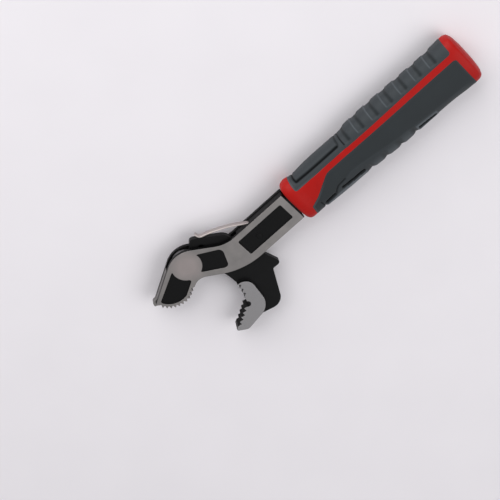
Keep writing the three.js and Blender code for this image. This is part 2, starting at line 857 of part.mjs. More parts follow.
// A pad's edge outline on the front view, moved outwards by a gap where the core must clear it
function padRegion(shares, shiftAlong, shiftAcross) {
  const corners = shares.map(([along, across, radius]) => ({
    at: new THREE.Vector2(
      gripStart + along * gripLength + (along > 1 / 2 ? -shiftAlong : shiftAlong),
      across * gripWidth - shankDrop + shiftAcross,
    ),
    radius: radius * gripWidth,
  }));
  const reach = gripThickness / 2 + overrun;
  return prism(roundedOutline(corners), midPlane - reach, midPlane + reach);
}

// A line engraved to an even depth in the front and back of the grip
function engraving(shares) {
  const line = shares.map(
    ([along, across]) => new THREE.Vector2(gripStart + along * gripLength, across * gripWidth - shankDrop),
  );
  const reach = gripThickness / 2 + overrun;
  return prism(stripOutline(line, engravedWidth), midPlane - reach, midPlane + reach).subtract(
    gripBody(engravedDepth),
  );
}

const tangOutline = roundedOutline([
  { at: new THREE.Vector2(gripStart - overrun, tangBottom - seatGap), radius: 0 },
  { at: new THREE.Vector2(tangEnd + seatGap, tangBottom - seatGap), radius: tangWidth / 4 },
  { at: new THREE.Vector2(tangEnd + seatGap, tangTop + seatGap), radius: tangWidth / 4 },
  { at: new THREE.Vector2(gripStart - overrun, tangTop + seatGap), radius: 0 },
]);

function gripCore() {
  const skin = cut(
    gripBody(redInset),
    padRegion(upperPadShares, -seatGap, -seatGap),
    padRegion(lowerPadShares, -seatGap, seatGap),
  );
  return cut(
    join(skin, innerBody(padThickness)),
    prism(tangOutline, -seatGap, bodyThickness + seatGap),
  );
}

function gripPad(shares, shaping, lines) {
  return cut(
    gripBody(0, shaping).intersect(padRegion(shares, 0, 0)),
    innerBody(padThickness - seatGap),
    ...lines.map(engraving),
  );
}

// The assembly
const wrench = new THREE.Group();

function place(solid, name, material) {
  wrench.add(toMesh(solid, name, material));
}

place(sidePlate(true), "front_side_plate", groundSteel);
place(sidePlate(false), "back_side_plate", groundSteel);
place(jawBlock(), "fixed_jaw_block", brightSteel);
place(shankSpacer(), "shank_spacer", blackedSteel);
place(pivotPinSolid(0), "pivot_pin", brightSteel);
rivets.forEach((rivet) => place(rivetSolid(rivet, 0), rivet.name, blackedSteel));
dowels.forEach(({ name, at }) => place(crossPin(at, dowelRadius, 0), name, brightSteel));

function ring(outer, inner, low, high) {
  return disc(pivot, outer, low, high).subtract(disc(pivot, inner, low - overrun, high + overrun));
}
const washerBore = pinRadius + seatGap;
const frontWasher = ring(washerRadius, washerBore, gapHigh - washerThickness, gapHigh);
const backWasher = ring(washerRadius, washerBore, gapLow, gapLow + washerThickness);
place(frontWasher, "front_thrust_washer", brightSteel);
place(backWasher, "back_thrust_washer", brightSteel);

place(crossPin(stopPinPlace, stopPinRadius, 0), "stop_pin", brightSteel);
place(crossPin(leaf.eyeCentre, leafPinRadius, 0), "spring_pin", brightSteel);
place(
  prism(stripOutline(leaf.line, leafThickness), midPlane - leafWidth / 2, midPlane + leafWidth / 2),
  "leaf_spring",
  springSteel,
);

place(gripCore(), "grip_core", redPlastic);
place(gripPad(upperPadShares, ribValleys, [upperLineShares]), "upper_grip_pad", greyRubber);
place(gripPad(lowerPadShares, fingerValleys, lowerLineShares), "lower_grip_pad", greyRubber);

place(hookJaw(), "hook_jaw", blackedSteel);
place(ring(bushRadius, pinRadius + runningGap, reliefLow, reliefHigh), "pivot_bush", bronze);

export default wrench;
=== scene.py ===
"""One-handed self-adjusting pipe wrench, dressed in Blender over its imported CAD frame.

Two ground side plates carry a toothed beak and a round head. A black hook jaw swings between them on one
pin, a bright leaf spring presses on its tail, and two soft pads sit on the red core of the grip.
Sizes are millimetres in the part's own frame unless a comment says otherwise, and meshes are in metres.
"""

import json
import logging
import math
from dataclasses import dataclass
from enum import Enum
from typing import Any, Callable, Sequence

import bmesh
import bpy
import numpy as np
from mathutils import Matrix, Vector

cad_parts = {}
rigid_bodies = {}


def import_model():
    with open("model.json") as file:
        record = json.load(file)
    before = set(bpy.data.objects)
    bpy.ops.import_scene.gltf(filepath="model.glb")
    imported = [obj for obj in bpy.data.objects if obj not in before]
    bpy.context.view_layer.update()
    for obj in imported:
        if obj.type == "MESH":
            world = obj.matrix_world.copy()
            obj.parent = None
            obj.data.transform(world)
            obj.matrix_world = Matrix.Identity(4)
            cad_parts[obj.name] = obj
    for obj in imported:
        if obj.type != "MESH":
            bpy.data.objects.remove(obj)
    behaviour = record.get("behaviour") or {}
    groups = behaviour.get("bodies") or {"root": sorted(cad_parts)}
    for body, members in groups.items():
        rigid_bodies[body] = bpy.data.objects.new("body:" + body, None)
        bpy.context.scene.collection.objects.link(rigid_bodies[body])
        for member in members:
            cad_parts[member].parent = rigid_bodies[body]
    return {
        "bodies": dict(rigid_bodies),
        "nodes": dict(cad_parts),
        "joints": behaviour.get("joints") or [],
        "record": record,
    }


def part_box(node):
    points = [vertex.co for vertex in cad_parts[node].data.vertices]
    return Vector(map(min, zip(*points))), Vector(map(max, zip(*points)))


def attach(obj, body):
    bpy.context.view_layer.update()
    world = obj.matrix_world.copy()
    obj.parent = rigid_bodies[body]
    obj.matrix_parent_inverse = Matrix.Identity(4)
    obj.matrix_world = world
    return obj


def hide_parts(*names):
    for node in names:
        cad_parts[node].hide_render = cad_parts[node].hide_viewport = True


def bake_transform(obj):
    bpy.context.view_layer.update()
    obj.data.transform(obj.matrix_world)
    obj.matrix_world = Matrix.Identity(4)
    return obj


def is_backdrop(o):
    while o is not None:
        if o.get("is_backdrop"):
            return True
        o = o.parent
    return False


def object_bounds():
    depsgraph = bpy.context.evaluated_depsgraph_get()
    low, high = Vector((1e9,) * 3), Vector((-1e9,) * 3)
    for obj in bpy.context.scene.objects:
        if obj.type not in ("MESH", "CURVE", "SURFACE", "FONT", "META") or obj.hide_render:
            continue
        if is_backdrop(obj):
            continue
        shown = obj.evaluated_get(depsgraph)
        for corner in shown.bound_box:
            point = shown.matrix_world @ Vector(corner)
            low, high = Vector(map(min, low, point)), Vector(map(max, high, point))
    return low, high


MM = 0.001
log = logging.getLogger("pipe_wrench")

Point = tuple[float, float]
Corner = tuple[float, float, float]
Frame = dict[str, Any]
Tree = bpy.types.NodeTree
Node = bpy.types.Node
Socket = bpy.types.NodeSocket
Piece = bpy.types.Object
Face = bmesh.types.BMFace

# How copies of the frame's solids are merged and divided, and which of their edges are rounded
ALIGN_MM = 0.045
MERGE_MM = 0.04
FLAT_DEG = 0.6
ON_LINE_M = 1e-7
ROUNDED_DEG = 35
BEVEL_STEPS = 2
# Points of a mesh made here that are one point
DOUBLE_MM = 0.001
# The radius to which the ends of a turned piece close
TIP_MM = 0.01


class Body(Enum):
    """The two bodies of the frame."""

    HANDLE = "handle"
    HOOK = "hook_jaw"


class Slot(Enum):
    """The record's material slots."""

    PLATE = "plate_steel"
    JAW = "jaw_steel"
    BLACK = "black_steel"
    SPRING = "spring_steel"
    BRONZE = "bronze"
    RED = "red_plastic"
    GREY = "grey_rubber"


# Finishes


def linear(code: str) -> tuple[float, float, float, float]:
    """Turns an sRGB hex colour to linear light.

    Args:
        code: six hex digits, such as "8e8b88".

    Returns:
        Red, green, blue and alpha for a shader socket.
    """
    parts = [int(code[i : i + 2], 16) / 255 for i in (0, 2, 4)]
    red, green, blue = (p / 12.92 if p <= 0.04045 else ((p + 0.055) / 1.055) ** 2.4 for p in parts)
    return red, green, blue, 1.0


def per(size_mm: float) -> float:
    """Gives a pattern's scale, in repeats per metre, for a feature of that size."""
    return 1 / (size_mm * MM)


def add(
    tree: Tree,
    kind: str,
    settings: dict[str, Any] | None = None,
    inputs: dict[str | int, Any] | None = None,
) -> Node:
    """Adds one node with its settings and links.

    Args:
        tree: the tree that gets the node.
        kind: the node's type.
        settings: the node's own properties.
        inputs: a value or another node's output for each input, by name or number.

    Returns:
        The new node.
    """
    node = tree.nodes.new(kind)
    for name, value in (settings or {}).items():
        setattr(node, name, value)
    for key, value in (inputs or {}).items():
        if isinstance(value, Socket):
            tree.links.new(value, node.inputs[key])
        else:
            node.inputs[key].default_value = value
    return node


@dataclass(frozen=True)
class Finish:
    """A surface finish: what the real material is, its colours and its gloss."""

    name: str
    colour: str
    second: str
    roughness: float
    metallic: float = 0.0
    specular: float = 0.5

    def material(self) -> bpy.types.Material:
        """Gives the finish's material, and makes it the first time.

        Returns:
            The material.
        """
        found = bpy.data.materials.get(self.name)
        if found:
            return found
        made = bpy.data.materials.new(self.name)
        made.use_nodes = True
        tree = made.node_tree
        tree.nodes.clear()
        levels = {"Metallic": self.metallic, "Specular IOR Level": self.specular}
        shader = add(tree, "ShaderNodeBsdfPrincipled", None, levels)
        add(tree, "ShaderNodeOutputMaterial", None, {"Surface": shader.outputs["BSDF"]})
        place = add(tree, "ShaderNodeTexCoord").outputs["Object"]
        self.dress(tree, shader, place)
        return made

    def dress(self, tree: Tree, shader: Node, place: Socket) -> None:
        """Adds the finish's own pattern to the bare shader.

        Args:
            tree: the material's tree.
            shader: its shader.
            place: the point on the surface, in object coordinates.
        """
        raise NotImplementedError

    def shade(
        self,
        tree: Tree,
        shader: Node,
        pattern: Socket,
        gloss: Socket,
        spread: float,
        bump: Point | None,
    ) -> None:
        """Lets one pattern move the colour and another the roughness and the height.

        Args:
            tree: the material's tree.
            shader: its shader.
            pattern: 0 shows the first colour and 1 the second.
            gloss: the pattern that moves the roughness and the height.
            spread: how far the roughness goes to either side.
            bump: the strength of the raised pattern and its height in millimetres, or nothing.
        """
        colours = {0: pattern, 6: linear(self.colour), 7: linear(self.second)}
        mixed = add(tree, "ShaderNodeMix", {"data_type": "RGBA"}, colours)
        span = {0: gloss, 3: self.roughness - spread, 4: self.roughness + spread}
        rough = add(tree, "ShaderNodeMapRange", None, span)
        tree.links.new(mixed.outputs[2], shader.inputs["Base Color"])
        tree.links.new(rough.outputs[0], shader.inputs["Roughness"])
        if bump:
            raised = {"Strength": bump[0], "Distance": bump[1] * MM, "Height": gloss}
            tree.links.new(add(tree, "ShaderNodeBump", None, raised).outputs[0], shader.inputs["Normal"])


class GroundSteel(Finish):
    """Belt-ground and satin-plated plate: a soft grey sheen with a faint grain along the tool."""

    def dress(self, tree: Tree, shader: Node, place: Socket) -> None:
        """Adds grinding lines, 0.5 mm apart, drawn coarser than the real 0.1 mm so that they show.

        Args:
            tree: the material's tree.
            shader: its shader.
            place: the point on the surface, in object coordinates.
        """
        along = add(tree, "ShaderNodeMapping", None, {"Vector": place, "Scale": (0.05, 1.0, 1.0)})
        lines = {"Vector": along.outputs[0], "Scale": per(0.5), "Detail": 4.0, "Roughness": 0.65}
        grain = add(tree, "ShaderNodeTexNoise", None, lines)
        clouds = add(tree, "ShaderNodeTexNoise", None, {"Vector": place, "Scale": per(9.0), "Detail": 2.0})
        self.shade(tree, shader, clouds.outputs[0], grain.outputs[0], 0.1, (0.35, 0.03))
        # Painted sheen: a lighter, pinkish disc round the pivot stands in for a reflection on the boss
        boss = per(15.0)
        flat = add(tree, "ShaderNodeMapping", None, {"Vector": place, "Scale": (boss, boss, 0.0)})
        round_it = {"gradient_type": "SPHERICAL"}
        sheen_disc = add(tree, "ShaderNodeTexGradient", round_it, {"Vector": flat.outputs[0]})
        sheen_share = add(tree, "ShaderNodeMapRange", None, {0: sheen_disc.outputs[1], 1: 0.0, 2: 0.6, 3: 0.0, 4: 0.6})
        ground = shader.inputs["Base Color"].links[0].from_socket
        colours = {0: sheen_share.outputs[0], 6: ground, 7: linear("a19694")}
        sheen_mix = add(tree, "ShaderNodeMix", {"data_type": "RGBA"}, colours)
        tree.links.new(sheen_mix.outputs[2], shader.inputs["Base Color"])


@dataclass(frozen=True)
class EvenGrain(Finish):
    """A coat, metal or paper with one even grain, which moves its colour, gloss and height together."""

    grain_mm: float = 1.0
    detail: float = 3.0
    spread: float = 0.1
    bump: Point | None = None
    stretch: Corner | None = None

    def dress(self, tree: Tree, shader: Node, place: Socket) -> None:
        """Adds the grain, drawn out along the piece if the finish has a direction.

        Args:
            tree: the material's tree.
            shader: its shader.
            place: the point on the surface, in object coordinates.
        """
        if self.stretch:
            drawn = {"Vector": place, "Scale": self.stretch}
            place = add(tree, "ShaderNodeMapping", None, drawn).outputs[0]
        sized = {"Vector": place, "Scale": per(self.grain_mm), "Detail": self.detail}
        grain = add(tree, "ShaderNodeTexNoise", None, sized).outputs[0]
        self.shade(tree, shader, grain, grain, self.spread, self.bump)


class BlackForging(Finish):
    """Drop-forged steel with a black phosphate coat: dark, satin and slightly pitted like scale."""

    def dress(self, tree: Tree, shader: Node, place: Socket) -> None:
        """Adds pits of about 0.8 mm over a broad unevenness of 6 mm.

        Args:
            tree: the material's tree.
            shader: its shader.
            place: the point on the surface, in object coordinates.
        """
        pits = add(tree, "ShaderNodeTexNoise", None, {"Vector": place, "Scale": per(0.8), "Detail": 5.0})
        broad = add(tree, "ShaderNodeTexNoise", None, {"Vector": place, "Scale": per(6.0), "Detail": 2.0})
        self.shade(tree, shader, broad.outputs[0], pits.outputs[0], 0.1, (0.5, 0.08))
        pitted = shader.inputs["Normal"].links[0].from_socket
        wide = {"Strength": 0.5, "Distance": 0.3 * MM, "Height": broad.outputs[0], "Normal": pitted}
        tree.links.new(add(tree, "ShaderNodeBump", None, wide).outputs[0], shader.inputs["Normal"])


class MachinedSteel(Finish):
    """Milled and hardened tool steel: satin grey, faintly mottled where the forging skin just cleaned up."""

    def dress(self, tree: Tree, shader: Node, place: Socket) -> None:
        """Adds mottling of about 0.6 mm and arcs left by the cutter, 0.6 mm apart.

        Args:
            tree: the material's tree.
            shader: its shader.
            place: the point on the surface, in object coordinates.
        """
        mottle = add(tree, "ShaderNodeTexNoise", None, {"Vector": place, "Scale": per(0.6), "Detail": 4.0})
        span = {0: mottle.outputs[0], 1: 0.42, 2: 0.72, 3: 0.0, 4: 1.0}
        dots = add(tree, "ShaderNodeMapRange", None, span)
        arcs = {"Vector": place, "Scale": per(0.6) / math.pi, "Distortion": 1.5, "Detail": 1.0}
        mill = add(tree, "ShaderNodeTexWave", {"wave_type": "RINGS", "rings_direction": "Z"}, arcs)
        self.shade(tree, shader, dots.outputs[0], mill.outputs[1], 0.08, (0.25, 0.03))


class MouldedPlastic(Finish):
    """Injection-moulded glass-filled nylon: strong red, softly glossy, with a fine mould texture."""

    def dress(self, tree: Tree, shader: Node, place: Socket) -> None:
        """Adds a mould grain of 0.5 mm and faint flow marks of 12 mm.

        Args:
            tree: the material's tree.
            shader: its shader.
            place: the point on the surface, in object coordinates.
        """
        grain = add(tree, "ShaderNodeTexNoise", None, {"Vector": place, "Scale": per(0.5), "Detail": 2.0})
        flow = add(tree, "ShaderNodeTexNoise", None, {"Vector": place, "Scale": per(12.0), "Distortion": 1.0})
        self.shade(tree, shader, flow.outputs[0], grain.outputs[0], 0.06, (0.25, 0.04))
        shader.inputs["IOR"].default_value = 1.53


class SoftRubber(Finish):
    """Overmoulded thermoplastic rubber: slate grey and matt, with painted shade in its grooves and a painted
    highlight on its edges.
    """

    def dress(self, tree: Tree, shader: Node, place: Socket) -> None:
        """Adds a spark-eroded grain of 0.45 mm, and paints shade or a highlight where the pads' shading
        attribute marks.

        The attribute is over 0 where painted shade darkens the surface and under 0 where a painted highlight
        lightens it.

        Args:
            tree: the material's tree.
            shader: its shader.
            place: the point on the surface, in object coordinates.
        """
        grain = add(tree, "ShaderNodeTexNoise", None, {"Vector": place, "Scale": per(0.45), "Detail": 3.0})
        wear = add(tree, "ShaderNodeTexNoise", None, {"Vector": place, "Scale": per(14.0), "Detail": 3.0})
        self.shade(tree, shader, wear.outputs[0], grain.outputs[0], 0.07, (0.5, 0.07))
        base = shader.inputs["Base Color"].links[0].from_socket
        painted_shading = add(tree, "ShaderNodeAttribute", {"attribute_name": "painted_shading"})
        raised = add(tree, "ShaderNodeMath", {"operation": "MULTIPLY"}, {0: painted_shading.outputs["Fac"], 1: -1.0})
        # Painted highlight lightens marked places towards a paler grey, and painted shade darkens them to
        # near black
        highlight_colours = {0: raised.outputs[0], 6: base, 7: linear("545a5f")}
        light = add(tree, "ShaderNodeMix", {"data_type": "RGBA"}, highlight_colours)
        shade_colours = {0: painted_shading.outputs["Fac"], 6: light.outputs[2], 7: linear("060607")}
        painted_dark = add(tree, "ShaderNodeMix", {"data_type": "RGBA"}, shade_colours)
        tree.links.new(painted_dark.outputs[2], shader.inputs["Base Color"])
        # Painted shade: the darkened marks also lose most of their reflection
        level = add(tree, "ShaderNodeMapRange", None, {0: painted_shading.outputs["Fac"], 3: self.specular, 4: 0.02})
        tree.links.new(level.outputs[0], shader.inputs["Specular IOR Level"])
        shader.inputs["IOR"].default_value = 1.5
        shader.inputs["Sheen Weight"].default_value = 0.06
        shader.inputs["Sheen Roughness"].default_value = 0.5


PLATE = GroundSteel("ground_plated_steel", "72706f", "8d8886", 0.42, 1.0)
FORGING = BlackForging("phosphated_forging", "090909", "101011", 0.42, 0.0, 0.11)
MACHINED = MachinedSteel("machined_tool_steel", "8e8c8d", "807e7f", 0.45, 1.0)
JAW = MachinedSteel("hardened_jaw_steel", "858280", "6c6967", 0.4, 1.0)
RED = MouldedPlastic("moulded_red_nylon", "a80f09", "9a0c07", 0.48, 0.0, 0.16)
GREY = SoftRubber("soft_grey_rubber", "1c2124", "21272a", 0.6, 0.0, 0.26)
# Enamel sprayed into the sunk panels: near black, with a soft gloss and an orange peel about 1.2 mm across
PANEL = EvenGrain(
    "black_enamel", "050505", "101011", 0.42, 0.0, 0.1,
    grain_mm=1.2, spread=0.08, bump=(0.4, 0.05),
)
# Cold-rolled spring strip: bright and smooth, with rolling lines 0.4 mm apart across its width
STRIP = EvenGrain(
    "cold_rolled_spring_strip", "c2b9b6", "aea6a3", 0.34, 1.0,
    grain_mm=0.4, spread=0.07, bump=(0.2, 0.02), stretch=(0.04, 0.04, 1.0),
)
# Oil-filled sintered bronze: warm and dull, with pores of about 0.3 mm
BRONZE = EvenGrain("sintered_bronze", "9c7442", "7d5a30", 0.5, 1.0, grain_mm=0.3, bump=(0.4, 0.04))
# Matt photographic paper: pale and even, with a faint unevenness 60 mm across and a tooth too fine to show
PAPER = EvenGrain("studio_paper", "ebe7eb", "e6e2e6", 0.9, grain_mm=60.0, detail=2.0, spread=0.03)


# Meshes


def placed(name: str, data: bpy.types.ID) -> Piece:
    """Puts a mesh, lamp or camera in the scene.

    Args:
        name: the object's name.
        data: what it shows or holds.

    Returns:
        The new object, at the origin.
    """
    piece = bpy.data.objects.new(name, data)
    bpy.context.scene.collection.objects.link(piece)
    return piece


def new_piece(
    name: str, points_mm: np.ndarray, faces: Sequence[Sequence[int]], finish: Finish
) -> Piece:
    """Makes a smooth-shaded mesh piece from points and faces.

    Args:
        name: the piece's name.
        points_mm: its points, in millimetres.
        faces: the numbers of each face's points, seen from outside, anticlockwise.
        finish: its finish.

    Returns:
        The new object, at the origin.
    """
    mesh = bpy.data.meshes.new(name)
    mesh.from_pydata((points_mm * MM).tolist(), [], faces)
    mesh.polygons.foreach_set("use_smooth", [True] * len(mesh.polygons))
    mesh.materials.append(finish.material())
    return placed(name, mesh)


def fit(piece: Piece, body: Body, slot: Slot, *nodes: str) -> None:
    """Lets a piece ride on its body and stand for its CAD nodes.

    Args:
        piece: the finished piece.
        body: the body that carries it.
        slot: not used.
        nodes: the CAD nodes that it replaces.
    """
    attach(piece, body.value)
    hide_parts(*nodes)
    log.info("%s rides on %s and stands for %s", piece.name, body.value, ", ".join(nodes))


def align_corners(solid: bmesh.types.BMesh) -> None:
    """Puts corners that almost stand over each other at one place, so that rounded edges stay apart.

    Args:
        solid: the copy of a CAD solid.
    """
    places: list[Vector] = []
    for corner in solid.verts:
        near = [place for place in places if (corner.co.xy - place).length < ALIGN_MM * MM]
        if near:
            corner.co.xy = near[0]
        else:
            places.append(corner.co.xy)


def softened_copy(
    frame: Frame,
    node: str,
    name: str,
    finishes: Sequence[Finish],
    rule: Callable[[Face], int],
    edge_mm: float,
    border_mm: float | None = None,
) -> Piece:
    """Copies a CAD node, merges it, gives each face its finish and rounds its edges.

    Args:
        frame: the loaded frame.
        node: the CAD node.
        name: the new piece's name.
        finishes: the finishes that the rule chooses from.
        rule: gives the number of a face's finish.
        edge_mm: the width of the broken edges.
        border_mm: the place along x where faces are divided, so that the finish can change there.

    Returns:
        The new piece.
    """
    solid = bmesh.new()
    solid.from_mesh(frame["nodes"][node].data)
    align_corners(solid)
    bmesh.ops.remove_doubles(solid, verts=solid.verts, dist=MERGE_MM * MM)
    flat = math.radians(FLAT_DEG)
    bmesh.ops.dissolve_limit(solid, angle_limit=flat, verts=solid.verts, edges=solid.edges)
    if border_mm is not None:
        whole = [*solid.verts, *solid.edges, *solid.faces]
        line = (border_mm * MM, 0, 0)
        bmesh.ops.bisect_plane(solid, geom=whole, dist=ON_LINE_M, plane_co=line, plane_no=(1, 0, 0))
    for face in solid.faces:
        face.material_index = rule(face)
        face.smooth = True
    mesh = bpy.data.meshes.new(name)
    solid.to_mesh(mesh)
    solid.free()
    imported = mesh.attributes.get("custom_normal")
    if imported:
        mesh.attributes.remove(imported)
    for finish in finishes:
        mesh.materials.append(finish.material())
    piece = placed(name, mesh)
    bevel = piece.modifiers.new("broken_edges", "BEVEL")
    bevel.width = edge_mm * MM
    bevel.segments = BEVEL_STEPS
    bevel.limit_method = "ANGLE"
    bevel.angle_limit = math.radians(ROUNDED_DEG)
    bevel.use_clamp_overlap = False
    bevel.loop_slide = False
    bevel.harden_normals = True
    return piece


def heights(face: Face) -> tuple[float, float]:
    """Gives a face's lowest and highest point, in millimetres."""
    levels = [corner.co.z / MM for corner in face.verts]
    return min(levels), max(levels)


def first_finish(face: Face) -> int:
    """Gives every face the first finish."""
    return 0


# Geometry Nodes


def node_inputs(tree: Tree, inputs: dict[str, str]) -> Node:
    """Opens a Geometry Nodes tree with its named inputs and its one output.

    Args:
        tree: the new tree.
        inputs: the socket type of each named input, after the geometry.

    Returns:
        The node that gives the inputs.
    """
    tree.interface.new_socket("Geometry", in_out="OUTPUT", socket_type="NodeSocketGeometry")
    tree.interface.new_socket("Geometry", in_out="INPUT", socket_type="NodeSocketGeometry")
    for name, kind in inputs.items():
        tree.interface.new_socket(name, in_out="INPUT", socket_type=kind)
    return add(tree, "NodeGroupInput")


def coated(tree: Tree, swept: Node, given: Node) -> Tree:
    """Ends a Geometry Nodes tree: it makes the swept mesh real and gives it its finish.

    Args:
        tree: the tree.
        swept: the node that gives the mesh.
        given: the node that gives the tree's inputs.

    Returns:
        The same tree.
    """
    plain = add(tree, "GeometryNodeRealizeInstances", None, {"Geometry": swept.outputs[0]})
    painted = {"Geometry": plain.outputs[0], "Material": given.outputs["Finish"]}
    done = add(tree, "GeometryNodeSetMaterial", None, painted)
    add(tree, "NodeGroupOutput", None, {"Geometry": done.outputs[0]})
    return tree


def grow(piece: Piece, tree: Tree, values: dict[str, Any]) -> None:
    """Runs a Geometry Nodes tree on a piece and keeps the result as its plain mesh, with no modifier.

    Args:
        piece: the piece that holds the points or paths.
        tree: the tree.
        values: what each named input gets.
    """
    modifier = piece.modifiers.new(tree.name, "NODES")
    modifier.node_group = tree
    for item in tree.interface.items_tree:
        if item.in_out == "INPUT" and item.name in values:
            modifier[item.identifier] = values[item.name]
    graph = bpy.context.evaluated_depsgraph_get()
    made = bpy.data.meshes.new_from_object(piece.evaluated_get(graph))
    piece.modifiers.remove(modifier)
    piece.data = made
    made.name = piece.name


def turned_pins_tree() -> Tree:
    """Builds the tree that turns each chain of points into a round pin, as thick as its girth says.

    Returns:
        The tree.
    """
    tree = bpy.data.node_groups.new("turned_pins", "GeometryNodeTree")
    given = node_inputs(tree, {"Sides": "NodeSocketInt", "Finish": "NodeSocketMaterial"})
    axes = add(tree, "GeometryNodeMeshToCurve", None, {"Mesh": given.outputs["Geometry"]})
    girth = add(tree, "GeometryNodeInputNamedAttribute", {"data_type": "FLOAT"}, {"Name": "girth"})
    unit = {"Resolution": given.outputs["Sides"], "Radius": 1.0}
    ring = add(tree, "GeometryNodeCurvePrimitiveCircle", None, unit)
    swept = {"Curve": axes.outputs[0], "Profile Curve": ring.outputs[0], "Scale": girth.outputs[0]}
    return coated(tree, add(tree, "GeometryNodeCurveToMesh", None, {**swept, "Fill Caps": True}), given)


def rolled_strip_tree() -> Tree:
    """Builds the tree that draws a flat strip with rounded edges along a chain of points.

    Returns:
        The tree.
    """
    tree = bpy.data.node_groups.new("rolled_strip", "GeometryNodeTree")
    sizes = dict.fromkeys(("Width", "Thickness", "Edge", "Step"), "NodeSocketFloat")
    given = node_inputs(tree, {**sizes, "Finish": "NodeSocketMaterial"})
    chain = add(tree, "GeometryNodeMeshToCurve", None, {"Mesh": given.outputs["Geometry"]})
    smooth = {"spline_type": "CATMULL_ROM"}
    bent = add(tree, "GeometryNodeCurveSplineType", smooth, {"Curve": chain.outputs[0]})
    stepped = {"Curve": bent.outputs[0], "Length": given.outputs["Step"]}
    even = add(tree, "GeometryNodeResampleCurve", {"mode": "LENGTH"}, stepped)
    upright = add(tree, "GeometryNodeSetCurveNormal", {"mode": "Z_UP"}, {"Curve": even.outputs[0]})
    box = {"Width": given.outputs["Thickness"], "Height": given.outputs["Width"]}
    section = add(tree, "GeometryNodeCurvePrimitiveQuadrilateral", None, box)
    rounded = {"Curve": section.outputs[0], "Count": 3, "Radius": given.outputs["Edge"]}
    edge = add(tree, "GeometryNodeFilletCurve", {"mode": "POLY"}, rounded)
    swept = {"Curve": upright.outputs[0], "Profile Curve": edge.outputs[0], "Fill Caps": True}
    return coated(tree, add(tree, "GeometryNodeCurveToMesh", None, swept), given)


def chains(
    name: str, lines: Sequence[Sequence[Corner]], girths: Sequence[Sequence[float]] = ()
) -> Piece:
    """Makes a piece of bare edge chains for a Geometry Nodes tree.

    Args:
        name: the piece's name.
        lines: the points of each chain, in millimetres.
        girths: the radius at each point, in millimetres, if the tree needs it.

    Returns:
        The new object.
    """
    points = [p for line in lines for p in line]
    starts = np.cumsum([0] + [len(line) for line in lines])
    edges = [(s + i, s + i + 1) for s, line in zip(starts, lines) for i in range(len(line) - 1)]
    mesh = bpy.data.meshes.new(name)
    mesh.from_pydata((np.array(points, float) * MM).tolist(), edges, [])
    if girths:
        girth = mesh.attributes.new("girth", "FLOAT", "POINT")
        girth.data.foreach_set("value", [g * MM for row in girths for g in row])
    return placed(name, mesh)


def sharpen(piece: Piece, angle_deg: float) -> Piece:
    """Merges a piece's doubles, turns its faces outwards and keeps its sharp edges sharp.

    Args:
        piece: the piece.
        angle_deg: edges that bend more than this stay sharp.

    Returns:
        The same piece.
    """
    solid = bmesh.new()
    solid.from_mesh(piece.data)
    bmesh.ops.remove_doubles(solid, verts=solid.verts, dist=DOUBLE_MM * MM)
    bmesh.ops.recalc_face_normals(solid, faces=solid.faces)
    for face in solid.faces:
        face.smooth = True
    for edge in solid.edges:
        edge.smooth = edge.calc_face_angle(0.0) < math.radians(angle_deg)
    solid.to_mesh(piece.data)
    solid.free()
    return piece


# Sub-assemblies


@dataclass
class SidePlates:
    """The two side plates: enamelled black all over, then ground bright on the outside of head and shank."""

    thickness: float = 12.0
    shank_end: float = 89.7
    edge: float = 0.18

    def finish_of(self, face: Face) -> int:
        """Gives the outer faces of the head and shank the ground steel and everything else the enamel.

        Args:
            face: a face of a side plate.

        Returns:
            0 on the ground faces, and 1 on walls, sunk panels, the tang and the inner faces.
        """
        low, high = heights(face)
        slack = 0.02
        outer = high < slack or low > self.thickness - slack
        return int(not outer or face.calc_center_median().x / MM > self.shank_end)

    def build(self, frame: Frame) -> None:
        """Makes both plates from their CAD nodes.

        Args:
            frame: the loaded frame.
        """
        finishes = [PLATE, PANEL]
        for node in ("front_side_plate", "back_side_plate"):
            name = node.replace("side_plate", "ground_plate")
            piece = softened_copy(frame, node, name, finishes, self.finish_of, self.edge, self.shank_end)
            fit(piece, Body.HANDLE, Slot.PLATE, node)


@dataclass
class FixedJaw:
    """The toothed block in the beak, and the spacer between the plates."""

    edge: float = 0.2

    def build(self, frame: Frame) -> None:
        """Makes both pieces from their CAD nodes.

        Args:
            frame: the loaded frame.
        """
        block = softened_copy(frame, "fixed_jaw_block", "beak_block", [JAW], first_finish, self.edge)
        fit(block, Body.HANDLE, Slot.JAW, "fixed_jaw_block")
        spacer = softened_copy(frame, "shank_spacer", "black_spacer", [FORGING], first_finish, self.edge)
        fit(spacer, Body.HANDLE, Slot.BLACK, "shank_spacer")


@dataclass
class HookJaw:
    """The black hook forging with its bright machined head, and the bush in its eye."""

    thickness: float = 12.0
    eye_radius: float = 10.80
    edge: float = 0.3
    bush_edge: float = 0.15

    def finish_of(self, face: Face) -> int:
        """Gives the head's two flat faces and the turned rim of the eye the machined finish.

        Args:
            face: a face of the hook jaw.

        Returns:
            1 on machined faces, and 0 on the forging's black ones.
        """
        low, high = heights(face)
        slack = 0.05
        on_eye = all(abs(math.hypot(*corner.co.xy) / MM - self.eye_radius) < slack for corner in face.verts)
        return int(high < slack or low > self.thickness - slack or on_eye)

    def build(self, frame: Frame) -> None:
        """Makes the jaw and its bush from their CAD nodes.

        Args:
            frame: the loaded frame.
        """
        jaw = softened_copy(frame, "hook_jaw", "hook_forging", [FORGING, MACHINED], self.finish_of, self.edge)
        fit(jaw, Body.HOOK, Slot.BLACK, "hook_jaw")
        bush = softened_copy(frame, "pivot_bush", "bronze_bush", [BRONZE], first_finish, self.bush_edge)
        fit(bush, Body.HOOK, Slot.BRONZE, "pivot_bush")


